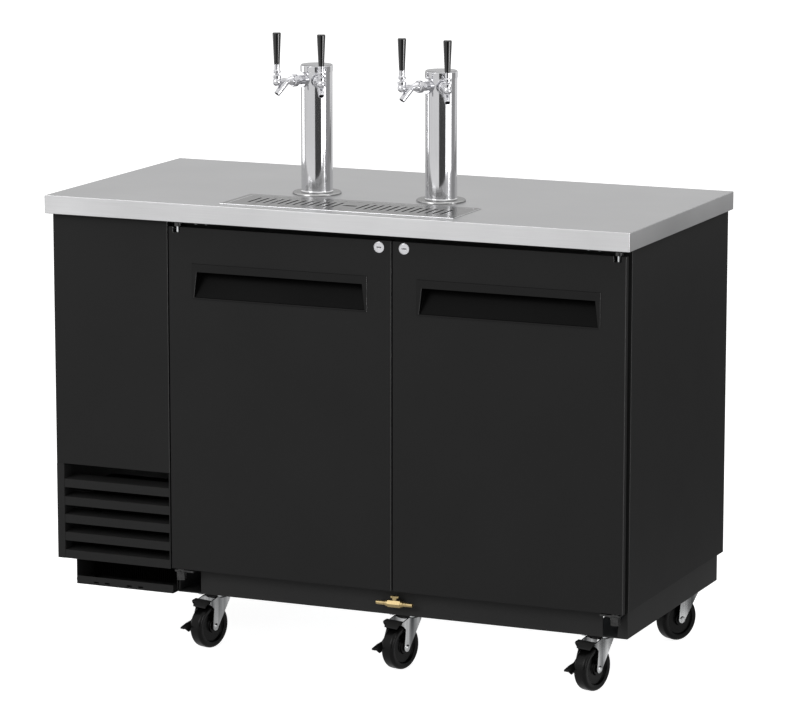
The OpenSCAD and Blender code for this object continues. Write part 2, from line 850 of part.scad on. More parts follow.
module door_handle(which) {
    mid = door_starts[which] + door_w / 2;
    side = pocket_span / 2;
    half = handle_span / 2 - handle_lap;
    difference() {
        union() {
            along_x(mid - half, mid + half)
                intersection() {
                    handle_housing_profile(0);
                    translate([front_y, handle_z0])
                        square([door_t, handle_h]);
                }
            span([mid - handle_span / 2, mid + handle_span / 2], [front_y - handle_proud, front_y],
                 [handle_z0, handle_z1]);
        }
        intersection() {
            along_x(mid - half, mid + half)
                pocket_profile();
            along_y(front_y - handle_proud - 2 * cut, front_y + door_t)
                polygon([[mid - side - handle_flare, handle_z0], [mid + side + handle_flare, handle_z0],
                         [mid + side, handle_z1 - handle_lip], [mid + side, handle_z1],
                         [mid - side, handle_z1], [mid - side, handle_z1 - handle_lip]]);
        }
    }
}

// Lock plug with its key slot, and the cam behind the door's pan
module door_lock(side) {
    key_w = 12;
    key_h = 2.4;
    key_depth = 6;
    cam_l = 24;
    cam_w = 9;
    cam_t = 3;
    flange_t = 2;
    flange_lap = 1.5;
    flange_d = lock_d + 2 * flange_lap;
    hub_d = cam_w + 2;
    dir = side == 0 ? -1 : 1;
    x = lock_xs[side];
    y1 = front_y + door_pan_t + clear;
    barrel_y1 = front_y + door_pan_t - clear;
    difference() {
        union() {
            rod_y([x, front_y - lock_proud, lock_z], lock_d, lock_proud + door_pan_t - clear);
            rod_y([x, front_y - flange_t - clear, lock_z], flange_d, flange_t);
            span([min(x, x + dir * cam_l), max(x, x + dir * cam_l)], [y1 - clear / 2, y1 + cam_t],
                 [lock_z - cam_w / 2, lock_z + cam_w / 2]);
            rod_y([x, barrel_y1 - cut, lock_z], hub_d, y1 + cam_t - barrel_y1 + cut);
        }
        span([x - key_w / 2, x + key_w / 2], [front_y - lock_proud - cut, front_y - lock_proud + key_depth],
             [lock_z - key_h / 2, lock_z + key_h / 2]);
    }
}

// Towers and faucets

// Places children at one faucet: +Y leads away from the tower axis, Z stays the real height
module at_faucet(i) {
    tower = floor(i / 2);
    turn = i % 2 == 0 ? -faucet_angle : faucet_angle;
    translate([tower_xs[tower], tower_y, 0])
        rotate([0, 0, 180 + turn])
            children();
}

module tower_columns() {
    fillet = 4;
    fillet_steps = 5;
    flange_bevel = 2;
    ro = column_d / 2;
    color(chrome)
    for (t = [0, 1])
        difference() {
            translate([tower_xs[t], tower_y, counter_z])
                rotate_extrude()
                    polygon(concat(
                        [[tower_bore_d / 2, 0], [tower_flange_d / 2, 0],
                         [tower_flange_d / 2, tower_flange_t / 2],
                         [tower_flange_d / 2 - flange_bevel, tower_flange_t]],
                        [for (k = [0 : fillet_steps])
                            [ro + fillet - fillet * sin(90 * k / fillet_steps),
                             tower_flange_t + fillet - fillet * cos(90 * k / fillet_steps)]],
                        [[ro, column_h], [tower_bore_d / 2, column_h]]));
            for (i = [2 * t, 2 * t + 1])
                at_faucet(i)
                    rod_y([0, 0, shank_z], shank_d + 2 * run, column_d);
        }
}

module tower_caps() {
    cap_grow = 1.2;
    shank_gap = 2;
    skirt_h = column_h - shank_h - shank_d / 2 - shank_gap;
    bevel = 3;
    color(chrome)
    for (x = tower_xs)
        translate([x, tower_y, counter_z + column_h])
            rotate_extrude()
                polygon([[0, -skirt_h], [tower_bore_d / 2 - clear, -skirt_h], [tower_bore_d / 2 - clear, 0],
                         [column_d / 2 + cap_grow, 0], [column_d / 2 + cap_grow, cap_h - bevel],
                         [column_d / 2 + cap_grow - bevel, cap_h], [0, cap_h]]);
}

module faucet_shanks() {
    tail = 12;
    wing_d = 36;
    wing_l = 7;
    wing_u1 = column_d / 2 + wing_l;
    bore_d = 8;
    color(chrome)
    for (i = [0 : 3])
        at_faucet(i)
            difference() {
                union() {
                    rod_y([0, column_d / 2 - tail, shank_z], shank_d, shank_u1 - column_d / 2 + tail);
                    difference() {
                        rod_y([0, column_d / 4, shank_z], wing_d, wing_u1 - column_d / 4);
                        rod_z([0, 0, shank_z - wing_d], column_d + 2 * run, 2 * wing_d);
                    }
                }
                rod_y([0, 0, shank_z], bore_d, 2 * column_d);
            }
}

// Coupling nut, a ring with spanner holes round it
module coupling_nuts() {
    holes = 6;
    hole_d = 5;
    hole_depth = 2.5;
    bevel = 2;
    color(chrome)
    for (i = [0 : 3])
        at_faucet(i)
            translate([0, nut_u0, shank_z])
                rotate([-90, 0, 0])
                    difference() {
                        rotate_extrude()
                            polygon([[shank_d / 2 + run, 0], [nut_d / 2 - bevel, 0], [nut_d / 2, bevel],
                                     [nut_d / 2, nut_l - bevel], [nut_d / 2 - bevel, nut_l],
                                     [shank_d / 2 + run, nut_l]]);
                        for (h = [0 : holes - 1])
                            rotate([0, 0, h * 360 / holes])
                                translate([nut_d / 2 - hole_depth, 0, nut_l / 2])
                                    rotate([0, 90, 0])
                                        cylinder(d = hole_d, h = hole_depth + cut);
                    }
}

// Faucet: seat behind the nut, slim neck, ball knuckle with the bonnet, and a spout that leans outward
module faucet_bodies() {
    flange_d = 23;
    flange_l = 3;
    neck_d = 13;
    neck_taper = 12;
    knuckle_d = 21;
    bonnet_d = 21;
    bonnet_h = 6;
    bonnet_neck_d = 18;
    spout_lean = 43;
    spout_l = 40;
    spout_back = 27;
    spout_u = lever_reach - spout_back;
    spout_d0 = 19;
    spout_d1 = 14.5;
    spout_bore = 10.5;
    bore_l = 32;
    passage_d = 8;
    passage_past = 6;
    seat_step = 0.5;
    seat_d = shank_d - 2 * seat_step;
    seat_l = body_u0 - shank_u1;
    neck_l = lever_reach - shank_u1;
    color(chrome)
    for (i = [0 : 3])
        at_faucet(i)
            difference() {
                union() {
                    translate([0, shank_u1, shank_z])
                        rotate([-90, 0, 0])
                            rotate_extrude()
                                polygon([[0, 0], [seat_d / 2, 0], [seat_d / 2, seat_l],
                                         [flange_d / 2, seat_l], [flange_d / 2, seat_l + flange_l],
                                         [neck_d / 2, seat_l + flange_l + neck_taper], [neck_d / 2, neck_l],
                                         [0, neck_l]]);
                    translate([0, lever_reach, shank_z])
                        sphere(d = knuckle_d);
                    rod_z([0, lever_reach, shank_z], bonnet_neck_d, bonnet_top - bonnet_h - shank_z + cut);
                    rod_z([0, lever_reach, bonnet_top - bonnet_h], bonnet_d, bonnet_h);
                    translate([0, spout_u, shank_z])
                        rotate([spout_lean - 180, 0, 0])
                            cylinder(d1 = spout_d0, d2 = spout_d1, h = spout_l);
                }
                translate([0, lever_reach, lever_pivot_z])
                    sphere(r = ball_r + clear);
                rod_z([0, lever_reach, lever_pivot_z], 2 * (ball_r + clear), 2 * ball_r);
                rod_x([-trunnion_l / 2 - clear, lever_reach, lever_pivot_z], trunnion_d + 2 * run,
                      trunnion_l + 2 * clear);
                translate([0, spout_u, shank_z])
                    rotate([spout_lean - 180, 0, 0])
                        translate([0, 0, spout_l - bore_l])
                            cylinder(d = spout_bore, h = bore_l + cut);
                rod_y([0, shank_u1 - cut, shank_z], passage_d, spout_u + passage_past - shank_u1 + cut);
            }
}

// Ball with its trunnions, stem, collar and ferrule of one lever
module faucet_lever(i) {
    stem_d = 8.5;
    collar_d = 18;
    collar_bevel = 1.5;
    collar_shoulder = 2;
    ferrule_d = 13;
    ferrule_flare = 0.6;
    color(chrome)
    at_faucet(i)
        translate([0, lever_reach, 0]) {
            translate([0, 0, lever_pivot_z])
                sphere(r = ball_r);
            rod_x([-trunnion_l / 2, 0, lever_pivot_z], trunnion_d, trunnion_l);
            rod_z([0, 0, lever_pivot_z], stem_d, collar_z0 - lever_pivot_z + cut);
            translate([0, 0, collar_z0])
                rotate_extrude()
                    polygon([[0, 0], [collar_d / 2 - collar_bevel, 0], [collar_d / 2, collar_bevel],
                             [collar_d / 2, collar_h - collar_shoulder], [ferrule_d / 2, collar_h],
                             [ferrule_d / 2 + ferrule_flare, collar_h + ferrule_h],
                             [0, collar_h + ferrule_h]]);
            rod_z([0, 0, tap_handle_z0 - cut], stud_d, stud_h + cut);
        }
}

// Tapered tap handle with a rounded top and a blind socket for the lever's stud
module tap_handle(i) {
    foot_d = 14;
    foot_bevel = 1;
    top_r = 3;
    top_steps = 4;
    socket_room = 1;
    color("#141414")
    at_faucet(i)
        translate([0, lever_reach, tap_handle_z0])
            difference() {
                rotate_extrude()
                    polygon(concat(
                        [[0, 0], [foot_d / 2 - foot_bevel, 0], [foot_d / 2, foot_bevel]],
                        [for (k = [0 : top_steps])
                            [tap_handle_d / 2 - top_r + top_r * cos(90 * k / top_steps),
                             tap_handle_l - top_r + top_r * sin(90 * k / top_steps)]],
                        [[0, tap_handle_l]]));
                rod_z([0, 0, -cut], stud_d + 2 * run, stud_h + socket_room + cut);
            }
}

// Drip tray

module drip_pan() {
    drain_wall = 2;
    drain_bore = drain_d - 2 * drain_wall;
    basin_z = counter_z - tray_depth;
    color(steel)
    difference() {
        union() {
            span([-tray_w / 2, tray_w / 2], [tray_y0, tray_y1], [counter_z, counter_z + tray_skin]);
            span([-tray_w / 2 + tray_rim_w - tray_skin, tray_w / 2 - tray_rim_w + tray_skin],
                 [tray_y0 + tray_rim_w - tray_skin, tray_y1 - tray_rim_w + tray_skin],
                 [basin_z, counter_z + tray_skin]);
            rod_z([0, tray_mid_y, basin_z - drain_l], drain_d, drain_l + cut);
        }
        span([-tray_w / 2 + tray_rim_w, tray_w / 2 - tray_rim_w],
             [tray_y0 + tray_rim_w, tray_y1 - tray_rim_w], [ledge_z, counter_z + tray_skin + cut]);
        span([-tray_w / 2 + basin_inset, tray_w / 2 - basin_inset],
             [tray_y0 + basin_inset, tray_y1 - basin_inset],
             [basin_z + tray_skin, counter_z + tray_skin + cut]);
        rod_z([0, tray_mid_y, basin_z - drain_l - cut], drain_bore, drain_l + tray_skin + 2 * cut);
    }
}

// Lift-out grid with a row of slots each side of the finger slot, and dimples along its edges
module drip_grid() {
    grid_w = tray_w - 2 * grid_inset;
    grid_d = tray_d - 2 * grid_inset;
    grid_z0 = ledge_z + clear;
    finger_h = 14;
    corner_r = 3;
    first_slot = finger_slot_w / 2 + slot_pitch * 0.75;
    per_side = floor((grid_w / 2 - first_slot - slot_pitch) / slot_pitch);
    dimple_d = 12;
    dimple_pitch = 37;
    dimple_inset = 13;
    dimple_depth = 0.8;
    dimples = floor((grid_w / 2 - dimple_pitch) / dimple_pitch);
    color(steel)
    translate([0, tray_mid_y, grid_z0])
        difference() {
            linear_extrude(grid_t)
                difference() {
                    round_rect(grid_w, grid_d, corner_r);
                    slot(finger_slot_w, finger_h);
                    for (s = [-1, 1], k = [0 : per_side])
                        translate([s * (first_slot + k * slot_pitch), 0])
                            slot(slot_w, slot_l);
                }
            for (k = [-dimples : dimples], s = [-1, 1])
                translate([k * dimple_pitch, s * (grid_d / 2 - dimple_inset), grid_t - dimple_depth])
                    cylinder(d1 = dimple_d / 2, d2 = dimple_d, h = dimple_depth + 0.01);
        }
}

// Drain valve

// Half section of one hose tail: a collar, then barbs that narrow outwards, then a plain end
module hose_tail_profile(collar_d, collar_l, tail_l) {
    ring_l = 5;
    ring_count = 2;
    ring_rise = 0.8;
    root_r = barb_d / 2;
    ring_r = root_r + ring_rise;
    barbs = [for (k = [0 : 2 * ring_count - 1])
        [k % 2 == 0 ? ring_r : root_r, collar_l + ceil(k / 2) * ring_l]];
    polygon(concat(
        [[0, -cut], [collar_d / 2, -cut], [collar_d / 2, collar_l]],
        barbs,
        [[root_r, tail_l], [0, tail_l]]
    ));
}

module drain_valve_body() {
    hex_d = 19;
    hex_l = 33;
    collar_d = 15;
    collar_l = 5;
    bonnet_d = 10;
    barb_wall = 1.5;
    color("#b99a4b")
    translate([doors_mid, valve_y, valve_z])
        difference() {
            union() {
                rotate([0, 90, 0])
                    rotate([0, 0, 30])
                        translate([0, 0, -hex_l / 2])
                            cylinder(d = hex_d, h = hex_l, $fn = 6);
                for (s = [-1, 1])
                    rotate([0, s * 90, 0])
                        translate([0, 0, hex_l / 2])
                            rotate_extrude()
                                hose_tail_profile(collar_d, collar_l, (valve_l - hex_l) / 2);
                // Rolled so that the stem's seam stays off the hexagon's corner
                rotate([-90, 0, 0])
                    rotate([0, 0, 45])
                        cylinder(d = valve_stem_d, h = cab_y0 - valve_y);
                rod_z([0, 0, 0], bonnet_d, valve_lever_z - valve_z - clear);
                rod_z([0, 0, 0], lever_seat_d, valve_lever_z - valve_z + lever_seat_l);
            }
            rod_x([-valve_l, 0, 0], barb_d - 2 * barb_wall, 2 * valve_l);
        }
}

module drain_valve_lever() {
    tee_l = 21;
    tee_w = 9;
    tee_t = 5;
    tee_h = 10;
    hub_d = 12;
    color("#b99a4b")
    translate([doors_mid, valve_y, valve_lever_z])
        difference() {
            union() {
                cylinder(d = hub_d, h = tee_h);
                translate([0, 0, tee_h - tee_t])
                    linear_extrude(tee_t)
                        slot(tee_l, tee_w);
            }
            rod_z([0, 0, -cut], lever_seat_d + 2 * run, cut + lever_seat_l + clear);
        }
}

// Casters

// Places children at one caster: the wheel trails towards -Y before the turn
module at_caster(i, turned = true) {
    turn = i < 3 ? caster_turn : rear_caster_turn;
    translate([caster_spots[i][0], caster_spots[i][1], 0])
        rotate([0, 0, turned ? -turn : 0])
            children();
}

module caster_plates() {
    head_d = 20;
    head_h = 3;
    plate_r = 8;
    color(dark)
    for (i = [0 : 5])
        at_caster(i, false) {
            translate([0, 0, caster_h - plate_t])
                linear_extrude(plate_t)
                    round_rect(plate_w, plate_l, plate_r);
            rod_z([0, 0, caster_h - plate_t - race_h], race_d, race_h + cut);
            head_z0 = crown_z0 - clear - head_h;
            rod_z([0, 0, head_z0], kingpin_d, caster_h - plate_t - head_z0);
            rod_z([0, 0, head_z0], head_d, head_h);
        }
}

// Side view of a fork leg: a crown, a taper down to the axle and a round end
module leg_profile(with_pedal) {
    end_r = 10;
    crown_l = 24;
    back_lap = 2;
    front_drop = 6;
    back_drop = 24;
    ear_drop = 28;
    polygon([[-crown_l - back_lap, crown_z1], [crown_l, crown_z1], [crown_l, crown_z0 - front_drop],
             [-trail + end_r * 0.9, axle_z - end_r * 0.3],
             [-trail - end_r * 0.95, axle_z + end_r * 0.3],
             [-trail - end_r * 0.5, crown_z0 - back_drop]]);
    translate([-trail, axle_z])
        circle(end_r);
    if (with_pedal) {
        polygon([[-crown_l, crown_z1], [pedal_pivot[0], pedal_pivot[1] + pedal_pin_d],
                 [pedal_pivot[0], pedal_pivot[1] - pedal_pin_d], [-trail, crown_z0 - ear_drop]]);
        translate(pedal_pivot)
            circle(pedal_pin_d);
    }
}

module caster_fork(i) {
    braked = i < 3;
    rivet_d = 15;
    rivet_h = 4;
    crown_lap = 4;
    axle_proud = 1;
    pedal_pin_l = 8;
    color(zinc)
    at_caster(i) {
        difference() {
            union() {
                rod_z([0, 0, crown_z0], 2 * (leg_x1 + crown_lap), crown_t);
                for (x = [-leg_x1, leg_x0])
                    along_x(x, x + leg_t)
                        leg_profile(braked);
                rod_x([-leg_x1 - axle_proud, -trail, axle_z], axle_d, 2 * (leg_x1 + axle_proud));
                for (s = [-1, 1])
                    translate([s * leg_x1, -trail, axle_z])
                        rotate([0, s * 90, 0])
                            rotate_extrude()
                                polygon([[0, 0], [rivet_d / 2, 0], [rivet_d / 2.4, rivet_h * 0.6],
                                         [rivet_d / 4, rivet_h], [0, rivet_h]]);
                if (braked)
                    rod_x([pedal_side_x - pedal_pin_l, pedal_pivot[0], pedal_pivot[1]], pedal_pin_d,
                          leg_x1 - pedal_side_x + pedal_pin_l);
            }
            rod_z([0, 0, crown_z0 - cut], kingpin_d + 2 * run, crown_t + 2 * cut);
        }
    }
}

// Moulded wheel: round-shouldered tread, dished sides and a hub
module caster_wheel(i) {
    shoulder = 8;
    steps = 6;
    tread_t = 15;
    rim_r = wheel_d / 2 - tread_t;
    hub_r = 15;
    dish = 6;
    dish_slope = 2;
    rim_drop = 1;
    r = wheel_d / 2;
    h = wheel_w / 2;
    half = concat(
        [[axle_d / 2 + run, h], [hub_r, h], [hub_r + dish_slope, h - dish], [rim_r - dish_slope, h - dish],
         [rim_r, h - rim_drop]],
        [for (k = [0 : steps])
            [r - shoulder + shoulder * sin(90 * k / steps), h - shoulder + shoulder * cos(90 * k / steps)]]);
    mirrored = [for (k = [len(half) - 1 : -1 : 0]) [half[k][0], -half[k][1]]];
    color("#141414")
    at_caster(i)
        translate([0, -trail, axle_z])
            rotate([0, 90, 0])
                rotate_extrude()
                    polygon(concat(half, mirrored));
}

// Brake pedal: sleeve on the fork's pin, toe plate between the legs, side arm with a hooked release tab
module caster_brake(i) {
    sleeve_d = 12;
    sleeve_l = 7;
    sleeve_x0 = pedal_side_x - sleeve_l;
    toe_x1 = leg_x0 - clear;
    toe_l = 22;
    toe_t = 4;
    toe_drop = 9;
    bridge_l = 14;
    arm_t = 3;
    hook_l = 17;
    hook_t = 4;
    hook_w = 12;
    tab_gap = 1.5;
    tab_x1 = -wheel_w / 2 - tab_gap;
    py = pedal_pivot[0];
    pz = pedal_pivot[1];
    ear_clear = pedal_pin_d + 2;
    toe_top = pz + sleeve_d / 2;
    bend_z = toe_top - 1;
    bridge_z = toe_top - 3;
    r = wheel_d / 2;
    tip_y = -trail - r - hook_l;
    tip_z = axle_z + 0.08 * r;
    color(dark)
    at_caster(i)
        difference() {
            union() {
                rod_x([-toe_x1, py, pz], sleeve_d, 2 * toe_x1);
                along_x(-toe_x1, toe_x1)
                    polygon([[py, toe_top], [py - toe_l / 2, bend_z], [py - toe_l, pz - toe_drop + toe_t],
                             [py - toe_l, pz - toe_drop], [py - toe_l / 2, bend_z - toe_t], [py, pz]]);
                along_x(sleeve_x0, cut - toe_x1)
                    polygon([[py - ear_clear, bend_z], [py - bridge_l, bridge_z],
                             [py - bridge_l, bridge_z - toe_t], [py - ear_clear, bend_z - toe_t]]);
                rod_x([sleeve_x0, py, pz], sleeve_d, sleeve_l);
                along_x(sleeve_x0, sleeve_x0 + arm_t)
                    polygon([[py + 5, pz], [py - 2, toe_top], [py - bridge_l, bridge_z],
                             [py - bridge_l, bridge_z - toe_t], [-trail - 0.29 * r, axle_z + 0.78 * r],
                             [-trail - 0.44 * r, axle_z + 0.4 * r], [-trail - 0.62 * r, axle_z + 0.26 * r],
                             [-trail - 0.95 * r, axle_z + 0.2 * r], [tip_y, tip_z], [tip_y, tip_z - hook_t],
                             [-trail - 1.04 * r, axle_z - 0.06 * r], [-trail - 0.8 * r, axle_z - 0.24 * r],
                             [-trail - 0.46 * r, axle_z - 0.12 * r], [-trail - 0.22 * r, axle_z + 0.36 * r],
                             [-trail - 0.04 * r, axle_z + 0.78 * r]]);
                along_x(sleeve_x0, tab_x1)
                    polygon([[tip_y, tip_z], [tip_y, tip_z - hook_t], [tip_y + hook_w, tip_z - hook_t],
                             [tip_y + hook_w, tip_z]]);
            }
            rod_x([sleeve_x0 - cut, py, pz], pedal_pin_d + 2 * run, 2 * leg_x1 + 2 * sleeve_l);
        }
}

counter_top();
insulated_roof();
insulated_floor();
rear_wall();
right_wall();
bay_partition();
centre_mullion();
bay_side_panel();
bay_front_panel();
louvre_grille();
bay_base_pan();
base_frame();
hinge_brackets();
compressor();
condenser_coil();
fan_shroud();
condenser_fan();
evaporator_housing();
evaporator_fan();
color(black) door_panel(0);  // left_door
color(dark) door_gasket(0);  // left_door_gasket
color(dark) door_handle(0);  // left_door_handle
color(chrome) door_lock(0);  // left_door_lock
color(black) door_panel(1);  // right_door
color(dark) door_gasket(1);  // right_door_gasket
color(dark) door_handle(1);  // right_door_handle
color(chrome) door_lock(1);  // right_door_lock
tower_columns();
tower_caps();
faucet_shanks();
coupling_nuts();
faucet_bodies();
for (i = [0 : 3]) {
    faucet_lever(i);
    tap_handle(i);
}
drip_pan();
drip_grid();
drain_valve_body();
drain_valve_lever();
caster_plates();
for (i = [0 : 5]) {
    caster_fork(i);
    caster_wheel(i);
}
for (i = [0 : 2]) {
    caster_brake(i);
}
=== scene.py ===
import json
import math

import bpy
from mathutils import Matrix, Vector


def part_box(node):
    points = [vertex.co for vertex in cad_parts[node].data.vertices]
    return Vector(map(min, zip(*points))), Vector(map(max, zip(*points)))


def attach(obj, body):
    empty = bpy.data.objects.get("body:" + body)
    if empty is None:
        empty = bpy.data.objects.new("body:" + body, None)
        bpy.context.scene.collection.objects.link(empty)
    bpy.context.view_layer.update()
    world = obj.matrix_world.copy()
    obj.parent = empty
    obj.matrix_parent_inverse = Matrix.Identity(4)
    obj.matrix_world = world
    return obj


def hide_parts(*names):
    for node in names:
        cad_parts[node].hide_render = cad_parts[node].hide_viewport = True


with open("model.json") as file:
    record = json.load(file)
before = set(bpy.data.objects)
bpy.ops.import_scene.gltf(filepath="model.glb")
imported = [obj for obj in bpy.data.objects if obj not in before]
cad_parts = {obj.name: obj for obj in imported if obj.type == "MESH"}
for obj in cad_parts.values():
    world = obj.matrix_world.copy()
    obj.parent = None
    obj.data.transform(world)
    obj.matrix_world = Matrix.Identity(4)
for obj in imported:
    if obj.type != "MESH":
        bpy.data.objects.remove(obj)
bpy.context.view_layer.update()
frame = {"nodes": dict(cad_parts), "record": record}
cadNodes = frame["nodes"]
record = frame["record"]
bodyOf = {node: body for body, members in record["behaviour"]["bodies"].items() for node in members}
jointAt = {joint["name"]: joint["pos_m"] for joint in record["behaviour"]["joints"] if "pos_m" in joint}
scene = bpy.context.scene
mm = 0.001  # sizes in the dictionaries are in mm, those of the camera and the studio in metres
print("frame loaded,", len(cadNodes), "nodes")


# Camera: fitted to the counter, doors, base, towers and wheels of the photo
cameraSet = {"place": (3.8298, -8.7526, 2.4802), "yaw": 23.562, "pitch": 10.637, "lens": 182.58, "sensor": 36}
cameraData = bpy.data.cameras.new("studioCamera")
cameraData.lens = cameraSet["lens"]
cameraData.sensor_width = cameraSet["sensor"]
cameraData.sensor_fit = "HORIZONTAL"
camera = bpy.data.objects.new("studioCamera", cameraData)
camera.location = cameraSet["place"]
camera.rotation_euler = (math.radians(90 - cameraSet["pitch"]), 0, math.radians(cameraSet["yaw"]))
scene.collection.objects.link(camera)
scene.camera = camera
scene.view_settings.view_transform = "Standard"


# sRGB hex to linear, by the standard's own curve
def linear(hexColour):
    channels = [int(hexColour[i:i + 2], 16) / 255 for i in (1, 3, 5)]
    return [c / 12.92 if c <= 0.04045 else ((c + 0.055) / 1.055) ** 2.4 for c in channels] + [1.0]


def addNode(tree, kind, values=None, links=None, **settings):
    made = tree.nodes.new(kind)
    for key, value in settings.items():
        setattr(made, key, value)
    for socket, value in (values or {}).items():
        made.inputs[socket].default_value = value
    for socket, source in (links or {}).items():
        tree.links.new(source, made.inputs[socket])
    return made


# An empty node tree for a world or a material
def emptyTree(owner):
    owner.use_nodes = True
    owner.node_tree.nodes.clear()
    return owner.node_tree


# What a finish has unless its own look says otherwise; stretch is the part of the noise that counts
plainLook = {"cloud": 240, "cloudShare": 0.5, "cloudDetail": 2.0, "grainDetail": 3.0, "stretch": (0.3, 0.7),
             "relief": 0, "strength": 0.5}


# The grain at its real size: cells where the look asks for them, noise elsewhere
def addGrain(tree, look, place):
    scaled = addNode(tree, "ShaderNodeMapping", {"Scale": [1 / (size * mm) for size in look["grain"]]},
                     {"Vector": place}).outputs["Vector"]
    if "cells" in look:
        cells = addNode(tree, "ShaderNodeTexVoronoi", {"Scale": 1.0}, {"Vector": scaled},
                        feature=look["cells"])
        return cells.outputs["Color" if look["cells"] == "F1" else "Distance"]
    noise = addNode(tree, "ShaderNodeTexNoise", {"Scale": 1.0, "Detail": look["grainDetail"]},
                    {"Vector": scaled})
    return noise.outputs["Fac"]


# One finish: its grain and slower clouds drive colour and roughness, the grain alone drives relief
def makeFinish(name, ownLook):
    look = {**plainLook, **ownLook}
    material = bpy.data.materials.new(name)
    material.use_nodes = True
    tree = material.node_tree
    shader = tree.nodes["Principled BSDF"]
    for socket, value in look["shader"].items():
        shader.inputs[socket].default_value = value
    place = addNode(tree, "ShaderNodeTexCoord").outputs["Object"]
    grain = addGrain(tree, look, place)
    clouds = addNode(tree, "ShaderNodeTexNoise",
                     {"Scale": 1 / (look["cloud"] * mm), "Detail": look["cloudDetail"]}, {"Vector": place})
    share = look["cloudShare"]
    slow = addNode(tree, "ShaderNodeMath", {1: share}, {0: clouds.outputs["Fac"]}, operation="MULTIPLY")
    both = addNode(tree, "ShaderNodeMath", {1: 1 - share}, {0: grain, 2: slow.outputs["Value"]},
                   operation="MULTIPLY_ADD")
    tones = addNode(tree, "ShaderNodeValToRGB", None, {"Fac": both.outputs["Value"]})
    for element, at, tone in zip(tones.color_ramp.elements, look["stretch"], look["colours"]):
        element.position = at
        element.color = linear(tone)
    rough = addNode(tree, "ShaderNodeMapRange",
                    {"From Min": look["stretch"][0], "From Max": look["stretch"][1],
                     "To Min": look["rough"][0], "To Max": look["rough"][1]},
                    {"Value": both.outputs["Value"]})
    tree.links.new(tones.outputs["Color"], shader.inputs["Base Color"])
    tree.links.new(rough.outputs["Result"], shader.inputs["Roughness"])
    if look["relief"]:
        bump = addNode(tree, "ShaderNodeBump",
                       {"Strength": look["strength"], "Distance": look["relief"] * mm}, {"Height": grain})
        tree.links.new(bump.outputs["Normal"], shader.inputs["Normal"])
    return material


